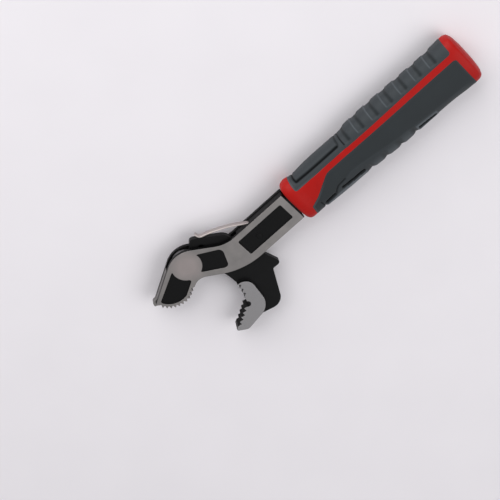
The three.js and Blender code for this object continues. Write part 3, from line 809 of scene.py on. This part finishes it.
@dataclass
class Fasteners:
    """The pivot pin, its washers, and the turned rivets and pins across the plates."""

    thickness: float = 12.0
    sides: int = 48
    # Rivets: shank and head radius, countersink, the panel they lie in and their low crown
    rivet: float = 1.7
    rivet_head: float = 2.5
    head_depth: float = 0.8
    panel_depth: float = 0.8
    crown: float = 0.22
    crown_rings: tuple[float, ...] = (0, 0.2, 0.4, 0.6, 0.8, 1)
    head_edge: Point = (0.1, 0.15)
    end_edge: float = 0.3
    shank_line: float = -21.3
    rivet_places: tuple[float, ...] = (55.41, 118.24, 185.52)
    # Pivot pin: radius, head radius, where it ends and how deep its head goes
    pin_radius: float = 5.0
    pin_head: float = 7.0
    pin_top: float = 10.912
    pin_head_depth: float = 1.984
    pin_sides: int = 96
    pin_edges: Point = (0.25, 0.4)
    washer_edge: float = 0.1
    sharp_deg: float = 40

    def rivet_chain(self, x: float, sunk: float) -> tuple[list[Corner], list[float]]:
        """Gives one rivet's axis points and radii.

        Args:
            x: its place along the shank.
            sunk: how far its heads lie under the plates' faces; a sunk head is hammered to a low crown.

        Returns:
            The points and the radius at each.
        """
        crown = self.crown if sunk else 0.0
        inward, down = self.head_edge
        half = [
            (sunk - crown * (1 - share**2), max(self.rivet_head * share - inward, TIP_MM))
            for share in self.crown_rings
        ]
        half += [(sunk + down, self.rivet_head), (sunk + self.head_depth, self.rivet)]
        rows = half + [(self.thickness - z, r) for z, r in reversed(half)]
        return [(x, self.shank_line, z) for z, _ in rows], [r for _, r in rows]

    def pin_chain(
        self, place: Point, radius: float, low: float, high: float
    ) -> tuple[list[Corner], list[float]]:
        """Gives a plain pin's axis points and radii, with the edges of its ends broken.

        Args:
            place: its axis.
            radius: its radius.
            low: its lower end.
            high: its upper end.

        Returns:
            The points and the radius at each.
        """
        edge = self.end_edge
        rows = [(low, TIP_MM), (low, radius - edge), (low + edge, radius)]
        rows += [(high - edge, radius), (high, radius - edge), (high, TIP_MM)]
        return [(*place, z) for z, _ in rows], [r for _, r in rows]

    def build(self, frame: Frame) -> None:
        """Makes the pins in one Geometry Nodes tree and the washers from their CAD nodes.

        Args:
            frame: the loaded frame.
        """
        tree = turned_pins_tree()
        # Only the shank's rivet lies in a sunk panel
        sunk = (self.panel_depth, 0.0, 0.0)
        rivets = [self.rivet_chain(x, depth) for x, depth in zip(self.rivet_places, sunk)]
        piece = chains("flush_rivets", *zip(*rivets))
        grow(piece, tree, {"Sides": self.sides, "Finish": PANEL.material()})
        names = ("shank_rivet", "tang_rivet_1", "tang_rivet_2")
        fit(sharpen(piece, self.sharp_deg), Body.HANDLE, Slot.BLACK, *names)

        pins = []
        names = ("jaw_dowel_1", "jaw_dowel_2", "shank_dowel", "stop_pin", "spring_pin")
        for node in names:
            low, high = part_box(node)
            middle = (low + high) / 2 / MM
            radius = (high.x - low.x) / 2 / MM
            pins.append(self.pin_chain((middle.x, middle.y), radius, low.z / MM, high.z / MM))
        piece = chains("steel_pins", *zip(*pins))
        grow(piece, tree, {"Sides": self.sides, "Finish": JAW.material()})
        fit(sharpen(piece, self.sharp_deg), Body.HANDLE, Slot.JAW, *names)

        bottom, top = self.pin_edges
        rows = [(0.0, TIP_MM), (0.0, self.pin_head - bottom), (bottom, self.pin_head)]
        rows += [(self.pin_head_depth / 4, self.pin_head), (self.pin_head_depth, self.pin_radius)]
        rows += [(self.pin_top - top, self.pin_radius), (self.pin_top, self.pin_radius - top)]
        rows.append((self.pin_top, TIP_MM))
        piece = chains("pivot_axle", [[(0.0, 0.0, z) for z, _ in rows]], [[r for _, r in rows]])
        grow(piece, tree, {"Sides": self.pin_sides, "Finish": JAW.material()})
        fit(sharpen(piece, self.sharp_deg), Body.HANDLE, Slot.JAW, "pivot_pin")

        for node in ("front_thrust_washer", "back_thrust_washer"):
            name = node.replace("thrust_washer", "steel_washer")
            washer = softened_copy(frame, node, name, [JAW], first_finish, self.washer_edge)
            fit(washer, Body.HANDLE, Slot.JAW, node)


@dataclass
class LeafSpring:
    """The bright strip from the shank's top edge to the hook's tail, rolled into an eye at its root."""

    width: float = 4.6
    thickness: float = 1.1
    edge: float = 0.25
    middle: float = 6.0
    eye_radius: float = 2.15
    eye_turn: float = 0.76
    eye_points: int = 16
    step: float = 0.5
    sharp_deg: float = 50
    eye_centre: Point = (62.34, -17.2)
    path: tuple[Point, ...] = (
        (21.74, 13.07), (22.31, 10.39), (24.01, 8.65), (28.07, 7.3), (32.82, 5.2),
        (41.93, 0.63), (49.17, -3.92), (54.78, -8.3), (59.73, -12.27), (63.71, -15.54),
    )
    root: Corner = (48.8, -4.88, 6.0)
    touch: Corner = (22.45, 9.65, 6.0)

    def centre_line(self) -> list[Corner]:
        """Gives the strip's centre line from its curled tip round to the end of its eye.

        Returns:
            The line's points.
        """
        (x, y), (end_x, end_y) = self.eye_centre, self.path[-1]
        start, count = math.atan2(end_y - y, end_x - x), self.eye_points
        turns = [start - self.eye_turn * math.tau * i / count for i in range(1, count + 1)]
        eye = [(x + self.eye_radius * math.cos(a), y + self.eye_radius * math.sin(a)) for a in turns]
        return [(*place, self.middle) for place in (*self.path, *eye)]

    def build(self, frame: Frame) -> None:
        """Draws the strip along its path and hides the CAD spring.

        Args:
            frame: the loaded frame.
        """
        piece = chains("spring_strip", [self.centre_line()])
        sizes = {"Width": self.width * MM, "Thickness": self.thickness * MM, "Edge": self.edge * MM}
        grow(piece, rolled_strip_tree(), {**sizes, "Step": self.step * MM, "Finish": STRIP.material()})
        sharpen(piece, self.sharp_deg)
        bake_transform(piece)
        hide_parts("leaf_spring")
        log.info("%s bends between the handle and the hook", piece.name)


# Grip


def rounded_outline(corners: Sequence[Corner]) -> np.ndarray:
    """Rounds the corners of a closed outline.

    Args:
        corners: x, y and radius of each corner, in order.

    Returns:
        The outline's points.
    """
    points: list[np.ndarray] = []
    # Points on each round, and the most that it takes of the edges beside it
    steps, most = 13, 0.49
    for i, (x, y, radius) in enumerate(corners):
        at = np.array((x, y))
        back = np.array(corners[i - 1][:2]) - at
        ahead = np.array(corners[(i + 1) % len(corners)][:2]) - at
        if not radius:
            points.append(at)
            continue
        back_length, ahead_length = np.hypot(*back), np.hypot(*ahead)
        half = math.acos(np.clip(back @ ahead / back_length / ahead_length, -1, 1)) / 2
        reach = min(radius / math.tan(half), most * back_length, most * ahead_length)
        start, end = at + back / back_length * reach, at + ahead / ahead_length * reach
        for t in np.linspace(0, 1, steps):
            points.append((1 - t) ** 2 * start + 2 * t * (1 - t) * at + t**2 * end)
    return np.array(points)


def line_distance(places: np.ndarray, line: np.ndarray, closed: bool = False) -> np.ndarray:
    """Gives the distance of many places from a line.

    Args:
        places: the places, one row each.
        line: the line's points.
        closed: whether the line closes on itself, which makes the distance positive inside it.

    Returns:
        One distance for each place.
    """
    ends = np.roll(line, -1, axis=0) if closed else line[1:]
    starts = line if closed else line[:-1]
    nearest = np.full(len(places), np.inf)
    inside = np.zeros(len(places), bool)
    for a, b in zip(starts, ends):
        span = b - a
        t = np.clip((places - a) @ span / max(span @ span, 1e-12), 0, 1)
        nearest = np.minimum(nearest, np.hypot(*(places - a - t[:, None] * span).T))
        if closed and a[1] != b[1]:
            crossed = (places[:, 1] > a[1]) != (places[:, 1] > b[1])
            inside ^= crossed & (places[:, 0] < a[0] + (places[:, 1] - a[1]) * span[0] / span[1])
    return np.where(inside, nearest, -nearest) if closed else nearest


def ease(value: np.ndarray, low: float, high: float) -> np.ndarray:
    """Rises smoothly from 0 to 1 between two values."""
    t = np.clip((value - low) / (high - low), 0, 1)
    return t * t * (3 - 2 * t)


def between(value: np.ndarray, rise: Point, fall: Point) -> np.ndarray:
    """Rises smoothly to 1 over one span and falls back to 0 over another."""
    return ease(value, *rise) * (1 - ease(value, *fall))


def bell(distance: np.ndarray, width: float) -> np.ndarray:
    """Peaks at 1 where the distance is 0, and has gone at about two widths from there."""
    return np.exp(-((distance / width) ** 2))


def blended(shares: Sequence[float], marks: Sequence[np.ndarray]) -> np.ndarray:
    """Adds up marks on a surface, each with its own share."""
    return sum(share * mark for share, mark in zip(shares, marks))


@dataclass
class Grip:
    """The red core and the two soft pads, on one smooth section that swells for the hand."""

    start: float = 92.0
    length: float = 167.0
    width: float = 40.0
    thickness: float = 25.0
    line: float = -21.3
    middle: float = 6.0
    squareness: float = 2.6
    # The grid on the skin: spans along the grip with how many rings each has, and the points of a ring
    front_end: float = 3.0
    front_stations: int = 10
    fine_end: float = 63.0
    fine_stations: int = 176
    coarse_stations: int = 186
    butt_span: Point = (0.15, 3.5)
    butt_stations: int = 16
    sides: int = 240
    # How far the core lies under the pads' surface, how deep they go into it, and how their rims roll over
    red_inset: float = 0.25
    pad_depth: float = 2.1
    core_step: Point = (0.75, 0.85)
    rim_reach: float = 0.45
    rim_place: float = 0.42
    rim_round: float = 0.4
    rim_slope: float = 1.2
    # How strongly a painted highlight lightens the rim, how far inside, over what width, and where that fades
    rim_highlight: Corner = (0.35, 1.2, 0.6)
    rim_highlight_fade: Point = (16.0, 34.0)
    rim_highlight_faded: float = 0.9
    # The core's pocket for the tang: its half width and half thickness, and how far it runs in
    tang_half: Point = (8.8, 6.3)
    tang_end: float = 114.7
    # Rings of the domed butt, as shares of its rim and heights, and its top
    dome: tuple[Point, ...] = ((0.85, 0.5), (0.5, 1.0))
    dome_top: float = 1.15
    sharp_deg: float = 50
    # Place along, half widths above and below the shank's line and half thickness, as shares
    profile: tuple[tuple[float, float, float, float], ...] = (
        (0, 0.392, 0.426, 0.38), (0.007, 0.425, 0.463, 0.44), (0.021, 0.448, 0.485, 0.472),
        (0.039, 0.453, 0.485, 0.48), (0.06, 0.43, 0.48, 0.468), (0.084, 0.415, 0.48, 0.46),
        (0.156, 0.435, 0.492, 0.48), (0.24, 0.437, 0.505, 0.488), (0.335, 0.433, 0.508, 0.492),
        (0.395, 0.467, 0.535, 0.504), (0.467, 0.477, 0.552, 0.516), (0.563, 0.475, 0.572, 0.52),
        (0.647, 0.467, 0.565, 0.512), (0.743, 0.457, 0.565, 0.5), (0.838, 0.45, 0.575, 0.496),
        (0.922, 0.465, 0.605, 0.504), (0.97, 0.475, 0.615, 0.504), (0.991, 0.445, 0.575, 0.464),
        (1, 0.375, 0.5, 0.36),
    )
    # Pad edges: places along and across from the shank's line, with corner radii
    upper_edge: tuple[Corner, ...] = ((7.35, 8.5, 3.4), (160.3, 9.8, 3.2), (160.3, 36, 0), (9.7, 36, 0))
    lower_edge: tuple[Corner, ...] = (
        (3.34, -36, 0), (160.3, -36, 0), (160.3, 5.5, 3.2),
        (34.7, 5.5, 11.2), (16.7, -5.4, 12), (8.77, -8.6, 2),
    )
    # Thumb panel: its outline, the step round it, the seam on that and the groove that ends it
    thumb_panel: tuple[Corner, ...] = ((11.2, 26, 0), (13.3, 14.1, 0.9), (55.0, 14.1, 1.6), (56.6, 26, 0))
    panel_end: Point = (57.8, 58.8)
    panel_step: Point = (-0.9, 0.1)
    seam_width: float = 0.65
    seam_fade: Point = (53.0, 55.0)
    seam_faded: float = 0.6
    thumb_groove: tuple[Point, ...] = ((58.9, 11.5), (58.7, 15.0), (58.5, 30.0))
    groove_width: float = 0.5
    groove_start: Point = (11.0, 12.5)
    # Cross ribs of the upper pad: where they dip, how wide, and where their crests and the painted shade at
    # their feet are
    rib_valleys: tuple[float, ...] = (62.3, 76.2, 90.1, 104.0, 117.9, 131.8, 145.7)
    rib_half: float = 3.6
    rib_power: int = 4
    ribs_start: Point = (11.0, 13.0)
    crest_width: float = 0.45
    foot_place: float = 1.7
    foot_width: float = 1.0
    # How far the border, the seam, the groove, the ribs and the crests stand out
    upper_lifts: tuple[float, ...] = (-0.25, -0.9, -0.75, -0.75, 0.12)
    # How dark the painted shade makes the seam, the groove and the ribs' feet, and how light the painted
    # highlight makes the crests and the whole pad
    upper_shade: Corner = (1.5, 0.9, 0.45)
    upper_highlight: Point = (0.55, 0.17)
    # Finger ripples of the lower pad, the painted highlight on their crests, and the knuckle in front of them
    finger_valleys: tuple[float, ...] = (61.3, 75.2, 89.1, 103.0)
    finger_half: float = 3.8
    finger_power: float = 1.4
    finger_sides: Point = (11.0, 18.0)
    crests_rise: Point = (58.0, 61.0)
    crests_fall: Point = (105.0, 107.0)
    knuckle_place: float = 16.1
    knuckle_width: float = 0.7
    knuckle_sides: Point = (9.0, 12.0)
    # Raised band along the lower pad: its upper line, one crease in it, and two flanges on it
    band_line: tuple[Point, ...] = (
        (16.0, -14.8), (27.5, -14.0), (29.5, -13.2), (31.6, -11.1), (34.4, -9.3),
        (41.5, -8.6), (48.1, -6.8), (57.2, -7.4), (71.2, -9.2), (85.6, -11.2),
        (98.8, -12.6), (110.8, -14.0), (125.0, -15.2), (157.0, -16.5),
    )
    band_step: Point = (-0.7, 0.7)
    band_rise: Point = (15.5, 19.0)
    band_fall: Point = (150.0, 157.0)
    crease: tuple[int, int] = (2, 6)
    crease_width: float = 0.55
    # How far the crease sinks, and how dark its painted shade is
    crease_depth_and_shade: Point = (-0.4, 0.7)
    flanges: tuple[Point, ...] = ((17.8, 57.0), (105.6, 124.2))
    flange_ramp: Point = (0.6, 0.3)
    flange_under: Point = (0.8, 2.2)
    flange_sides: Point = (14.2, 15.6)
    # Deep slots over the band: their centre lines, edges and depth, and from where painted shade darkens them
    slots: tuple[tuple[Point, ...], ...] = (
        ((19.4, -14.6), (24.0, -14.1), (27.6, -13.8)),
        ((36.2, -13.5), (45.4, -14.1), (55.9, -14.5)),
        ((107.9, -18.3), (115.5, -19.0), (121.8, -19.7)),
    )
    slot_edge: Point = (0.75, 1.5)
    slot_depth: float = 1.7
    slot_shade_from: float = 0.02
    # How far the band, the flanges, the ripples and the knuckle stand out
    lower_lifts: tuple[float, ...] = (0.25, 0.3, -1.1, -0.9)
    # How dark the painted shade makes the ripples and the knuckle, and how light the painted highlight makes
    # the band, the flanges and the crests
    lower_shading: tuple[float, ...] = (0.25, 0.6, -0.1, -0.75, -0.3)

    def half_size(self, along: np.ndarray, column: int) -> np.ndarray:
        """Gives a smooth half width or half thickness at places along the grip.

        Args:
            along: the places.
            column: the profile's column.

        Returns:
            The half size at each place.
        """
        rows = np.array(self.profile)
        xs, values = rows[:, 0] * self.length, rows[:, column]
        slopes = np.empty(len(xs))
        slopes[1:-1] = (values[2:] - values[:-2]) / (xs[2:] - xs[:-2])
        slopes[0] = (values[1] - values[0]) / (xs[1] - xs[0])
        slopes[-1] = (values[-1] - values[-2]) / (xs[-1] - xs[-2])
        i = np.clip(np.searchsorted(xs, along, side="right") - 1, 0, len(xs) - 2)
        span = xs[i + 1] - xs[i]
        t = np.clip((along - xs[i]) / span, 0, 1)
        low = (2 * t**3 - 3 * t**2 + 1) * values[i] + (t**3 - 2 * t**2 + t) * slopes[i] * span
        high = (3 * t**2 - 2 * t**3) * values[i + 1] + (t**3 - t**2) * slopes[i + 1] * span
        return (low + high) * (self.thickness if column == 3 else self.width)

    def grid(self) -> tuple[np.ndarray, np.ndarray]:
        """Gives the places along the grip, closer together at both ends, and the angles round it.

        Returns:
            The place and the angle at each point of the grid.
        """
        front = np.linspace(0, self.front_end, self.front_stations, endpoint=False)
        fine = np.linspace(self.front_end, self.fine_end, self.fine_stations, endpoint=False)
        coarse = np.linspace(self.fine_end, self.length, self.coarse_stations)
        butt = self.length - np.linspace(*self.butt_span, self.butt_stations)
        along = np.unique(np.concatenate([fine, coarse, front, butt]))
        turn = np.arange(self.sides) * math.tau / self.sides
        return np.meshgrid(along, turn, indexing="ij")

    def skin(self, along: np.ndarray, turn: np.ndarray, lift: np.ndarray) -> np.ndarray:
        """Gives the points of the grip's skin, raised or sunk by a lift.

        Args:
            along: places along the grip.
            turn: angles round it.
            lift: how far each point stands out.

        Returns:
            The points, one row each.
        """
        c, s = np.cos(turn), np.sin(turn)
        up, down, half = (self.half_size(along, column) + lift for column in (1, 2, 3))
        power = 2 / self.squareness
        y = np.sign(c) * np.abs(c) ** power * np.where(c > 0, up, down)
        z = np.sign(s) * np.abs(s) ** power * half
        return np.stack([self.start + along, y + self.line, z + self.middle], -1).reshape(-1, 3)

    def edge_distances(self, along: np.ndarray, turn: np.ndarray) -> tuple[np.ndarray, ...]:
        """Gives each place on the skin and how far it lies inside each pad's edge.

        Args:
            along: places along the grip.
            turn: angles round it.

        Returns:
            The places along and across, and the distances for the upper and the lower pad.
        """
        flat = self.skin(along, turn, np.zeros_like(along))
        places = np.stack([along.ravel(), flat[:, 1] - self.line], -1)
        upper = line_distance(places, rounded_outline(self.upper_edge), closed=True)
        lower = line_distance(places, rounded_outline(self.lower_edge), closed=True)
        return places, upper, lower

    def rim_lift(self, inside: np.ndarray) -> np.ndarray:
        """Rounds a pad's rim over: 0 on the pad, and evenly down past its edge."""
        past = self.rim_place - inside
        return -self.rim_slope * (past + np.sqrt(past**2 + self.rim_round**2)) / 2

    def upper_lift(self, places: np.ndarray) -> tuple[np.ndarray, np.ndarray]:
        """Shapes the upper pad: a thumb panel inside a border in front, and cross ribs behind it.

        Args:
            places: places along and across the grip.

        Returns:
            How far each point stands out, and its painted shading: over 0 where painted shade darkens it,
            under 0 where a painted highlight lightens it.
        """
        s, a = places.T
        panel = line_distance(places, rounded_outline(self.thumb_panel), closed=True)
        front = 1 - ease(s, *self.panel_end)
        border = (1 - ease(panel, *self.panel_step)) * front
        seam = bell(panel, self.seam_width) * front * (1 - self.seam_faded * ease(s, *self.seam_fade))
        groove_line = line_distance(places, np.array(self.thumb_groove))
        groove = bell(groove_line, self.groove_width) * ease(a, *self.groove_start)
        across = ease(a, *self.ribs_start)
        offset = s[:, None] - np.array(self.rib_valleys)
        ribs = (1 - np.clip(np.abs(offset) / self.rib_half, 0, 1) ** self.rib_power).max(axis=1) * across
        crest = bell(offset[:, 1:] + self.rib_half, self.crest_width).max(axis=1) * across
        foot = bell(offset - self.foot_place, self.foot_width).max(axis=1) * across
        lift = blended(self.upper_lifts, (border, seam, groove, ribs, crest))
        # Painted shade in the seam, the groove and the ribs' feet, and a painted highlight on the crests and
        # over the whole pad
        painted_shade = np.clip(blended(self.upper_shade, (seam, groove, foot)), 0, 1)
        on_crest, everywhere = self.upper_highlight
        return lift, painted_shade - on_crest * crest - everywhere

    def lower_lift(self, places: np.ndarray) -> tuple[np.ndarray, np.ndarray]:
        """Shapes the lower pad: a smooth field, a raised band under it, finger ripples and three slots.

        Args:
            places: places along and across the grip.

        Returns:
            How far each point stands out, and its painted shading: over 0 where painted shade darkens it,
            under 0 where a painted highlight lightens it.
        """
        s, a = places.T
        line = np.array(self.band_line)
        under = np.interp(s, line[:, 0], line[:, 1]) - a
        band = ease(under, *self.band_step) * between(s, self.band_rise, self.band_fall)
        out, into = self.flange_ramp
        flange = sum(between(s, (x - out, x + into), (end - into, end + out)) for x, end in self.flanges)
        flange = flange * ease(under, *self.flange_under) * ease(-a, *self.flange_sides)
        reach = np.clip(np.abs(s[:, None] - np.array(self.finger_valleys)) / self.finger_half, 0, 1)
        low = ease(-a, *self.finger_sides)
        ripples = ((1 - reach) ** self.finger_power).max(axis=1) * low
        crest_highlight = (reach**3).min(axis=1) * low * between(s, self.crests_rise, self.crests_fall)
        knuckle = bell(s - self.knuckle_place, self.knuckle_width) * ease(-a, *self.knuckle_sides)
        lift = blended(self.lower_lifts, (band, flange, ripples, knuckle))
        # Painted shade in the ripples and the knuckle, and a painted highlight on the band, the flanges and
        # the crests
        painted_shading = blended(self.lower_shading, (ripples, knuckle, band, flange, crest_highlight))
        # Painted shade: each slot is darkened towards black as well as cut
        for slot in self.slots:
            cut = 1 - ease(line_distance(places, np.array(slot)), *self.slot_edge)
            lift = lift - self.slot_depth * cut
            painted_shading = np.where(cut > self.slot_shade_from, np.maximum(cut, painted_shading), painted_shading)
        # The crease is sunk and darkened with painted shade
        crease = bell(line_distance(places, line[slice(*self.crease)]), self.crease_width)
        sunk, painted_dark = self.crease_depth_and_shade
        return lift + sunk * crease, painted_shading + painted_dark * crease

    def faces_round(self, rows: int) -> np.ndarray:
        """Gives the faces of a skin that closes round the grip.

        Args:
            rows: how many rings of points the skin has.

        Returns:
            The numbers of each face's four points.
        """
        n = self.sides
        i, j = np.meshgrid(np.arange(rows - 1), np.arange(n), indexing="ij")
        k = (j + 1) % n
        return np.stack([i * n + j, i * n + k, (i + 1) * n + k, (i + 1) * n + j], -1).reshape(-1, 4)

    def build_pad(
        self, name: str, node: str, inside: np.ndarray, shape: tuple[np.ndarray, np.ndarray],
        along: np.ndarray, turn: np.ndarray,
    ) -> None:
        """Makes one closed pad: its outer skin, its inner skin and the wall between them.

        Args:
            name: the piece's name.
            node: the CAD node that it replaces.
            inside: how far each grid point lies inside the pad's edge.
            shape: the pad's own lift and painted shading at each grid point.
            along: the grid's places along the grip.
            turn: the grid's angles round it.
        """
        faces = self.faces_round(along.shape[0])
        kept = faces[(inside[faces] > -self.rim_reach).all(axis=1)]
        used, numbers = np.unique(kept, return_inverse=True)
        kept = numbers.reshape(-1, 4)
        lift = (self.rim_lift(inside) + shape[0]).reshape(along.shape)
        outer = self.skin(along, turn, lift)[used]
        inner = self.skin(along, turn, np.full(along.shape, -self.pad_depth))[used]
        count = len(used)
        edges: dict[tuple[int, int], None] = {}
        for a, b, c, d in kept.tolist():
            for start, end in ((a, b), (b, c), (c, d), (d, a)):
                if (end, start) in edges:
                    del edges[(end, start)]
                else:
                    edges[(start, end)] = None
        walls = [(b, a, a + count, b + count) for a, b in edges]
        lining = (kept[:, ::-1] + count).tolist()
        piece = new_piece(name, np.concatenate([outer, inner]), kept.tolist() + lining + walls, GREY)
        # Painted highlight: a lighter band just inside each pad's rim, weaker towards the back
        share, place, width = self.rim_highlight
        front = 1 - self.rim_highlight_faded * ease(along.ravel(), *self.rim_highlight_fade)
        painted_shading = shape[1] - share * bell(inside - place, width) * front
        marks = piece.data.attributes.new("painted_shading", "FLOAT", "POINT")
        marks.data.foreach_set("value", np.concatenate([painted_shading[used], np.zeros(count)]).astype(np.float32))
        fit(piece, Body.HANDLE, Slot.GREY, node)

    def build_core(self, upper: np.ndarray, lower: np.ndarray, along: np.ndarray, turn: np.ndarray) -> None:
        """Makes the red core, sunk under both pads, with the pocket for the tang and a domed butt.

        Args:
            upper: how far each grid point lies inside the upper pad's edge.
            lower: the same for the lower pad.
            along: the grid's places along the grip.
            turn: the grid's angles round it.
        """
        under = np.maximum(upper, lower).reshape(along.shape)
        start, span = self.core_step
        sunk = -self.red_inset - self.pad_depth * np.clip((under - start) / span, 0, 1)
        outer = self.skin(along, turn, sunk)
        angles = turn[0]
        c, s = np.cos(angles), np.sin(angles)
        wide, shade_colours = self.tang_half
        reach = 1 / np.maximum(np.abs(c) / wide, np.abs(s) / shade_colours)
        mouth = np.stack([np.zeros_like(c), c * reach + self.line, s * reach + self.middle], -1)
        pocket = [mouth + (self.start + x, 0, 0) for x in (self.tang_end, 0.0)]
        last = outer[-self.sides :]
        centre = last.mean(axis=0)
        dome = [centre + (last - centre) * share + (bulge, 0, 0) for share, bulge in self.dome]
        points = np.concatenate([*pocket, outer, *dome])
        rows = len(points) // self.sides
        ends = [pocket[0].mean(axis=0), centre + (self.dome_top, 0, 0)]
        faces = self.faces_round(rows).tolist()
        total = len(points)
        for j in range(self.sides):
            k = (j + 1) % self.sides
            faces.append([total, k, j])
            faces.append([total + 1, total - self.sides + j, total - self.sides + k])
        piece = new_piece("red_core", np.concatenate([points, ends]), faces, RED)
        fit(sharpen(piece, self.sharp_deg), Body.HANDLE, Slot.RED, "grip_core")

    def build(self, frame: Frame) -> None:
        """Makes the core and both pads.

        Args:
            frame: the loaded frame.
        """
        along, turn = self.grid()
        places, upper, lower = self.edge_distances(along, turn)
        self.build_core(upper, lower, along, turn)
        self.build_pad("upper_soft_pad", "upper_grip_pad", upper, self.upper_lift(places), along, turn)
        self.build_pad("lower_soft_pad", "lower_grip_pad", lower, self.lower_lift(places), along, turn)


# Studio


@dataclass(frozen=True)
class Lamp:
    """A soft square lamp: its place right of, above and in front of the object, its side and its power."""

    name: str
    place_m: Corner
    size_m: float
    watts: float


@dataclass
class Studio:
    """The pale floor, the soft lamps, the plain world and the camera at the photograph's angle."""

    floor_reach_m: float = 4.0
    world_level: float = 0.46
    seen_level: float = 0.85
    lamps: tuple[Lamp, ...] = (
        Lamp("key_lamp", (-0.7, 0.6, 1.2), 1.6, 21.0),
        Lamp("fill_lamp", (1.0, -0.5, 1.0), 1.2, 9.0),
    )
    # The camera's place in metres and its own right and up directions, in the part's frame
    camera_place: Corner = (0.306864, 0.457, 1.002952)
    camera_right: Corner = (0.727872, -0.672681, 0.133053)
    camera_up: Corner = (0.644906, 0.605607, -0.466194)
    # Focal length and sensor width
    lens: float = 108.0
    sensor: float = 36.0
    clip_m: Point = (0.01, 20.0)

    def camera_axes(self) -> tuple[Vector, Vector, Vector]:
        """Gives the camera's right, up and back directions."""
        right, up = Vector(self.camera_right), Vector(self.camera_up)
        return right, up, right.cross(up)

    def build_floor(self, low: Vector) -> None:
        """Lays the floor at the object's lowest point.

        Args:
            low: the lowest corner of the object's box.
        """
        r, z = self.floor_reach_m / MM, low.z / MM
        corners = np.array([(-r, -r, z), (r, -r, z), (r, r, z), (-r, r, z)])
        floor = new_piece("studio_floor", corners, [(0, 1, 2, 3)], PAPER)
        floor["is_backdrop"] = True

    def build_world(self) -> None:
        """Gives the world an even grey light and a pale look where it is seen or reflected."""
        world = bpy.data.worlds.new("studio_world")
        bpy.context.scene.world = world
        world.use_nodes = True
        tree = world.node_tree
        tree.nodes.clear()
        path = add(tree, "ShaderNodeLightPath")
        seen = path.outputs["Is Camera Ray"]
        for name in ("Is Glossy Ray", "Is Transmission Ray"):
            both = {0: seen, 1: path.outputs[name]}
            seen = add(tree, "ShaderNodeMath", {"operation": "MAXIMUM"}, both).outputs[0]
        level = {0: seen, 3: self.world_level, 4: self.seen_level}
        strength = add(tree, "ShaderNodeMapRange", None, level)
        light = {"Color": linear("f7f8fa"), "Strength": strength.outputs[0]}
        shine = add(tree, "ShaderNodeBackground", None, light)
        add(tree, "ShaderNodeOutputWorld", None, {"Surface": shine.outputs[0]})

    def build_lamp(self, lamp: Lamp, aim: Vector) -> None:
        """Hangs one soft square lamp.

        Args:
            lamp: the lamp.
            aim: what it points at.
        """
        data = bpy.data.lights.new(lamp.name, "AREA")
        data.size = lamp.size_m
        data.energy = lamp.watts
        hung = placed(lamp.name, data)
        away = sum((axis * reach for axis, reach in zip(self.camera_axes(), lamp.place_m)), Vector())
        hung.location = aim + away
        hung.rotation_euler = away.to_track_quat("Z", "Y").to_euler()

    def build_camera(self) -> None:
        """Sets the camera where the photograph was taken from."""
        data = bpy.data.cameras.new("photo_camera")
        data.lens = self.lens
        data.sensor_width = self.sensor
        data.clip_start, data.clip_end = self.clip_m
        camera = placed("photo_camera", data)
        turn = Matrix(self.camera_axes()).transposed().to_4x4()
        camera.matrix_world = Matrix.Translation(self.camera_place) @ turn
        bpy.context.scene.camera = camera

    def build(self, low: Vector, high: Vector) -> None:
        """Sets the whole studio round the object's box.

        Args:
            low: the box's lowest corner.
            high: its highest corner.
        """
        self.build_floor(low)
        self.build_world()
        self.build_camera()
        for lamp in self.lamps:
            self.build_lamp(lamp, (low + high) / 2)
        bpy.context.scene.view_settings.view_transform = "Standard"
        log.info("studio set round %s to %s", tuple(low), tuple(high))


def main() -> None:
    """Loads the frame, builds the studio round its box, and builds the pieces in order."""
    logging.basicConfig(level=logging.INFO, format="%(name)s: %(message)s")
    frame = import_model()
    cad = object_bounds()
    Studio().build(*cad)
    for part in (SidePlates(), FixedJaw(), HookJaw(), Fasteners(), LeafSpring(), Grip()):
        part.build(frame)


if __name__ == "__main__":
    main()
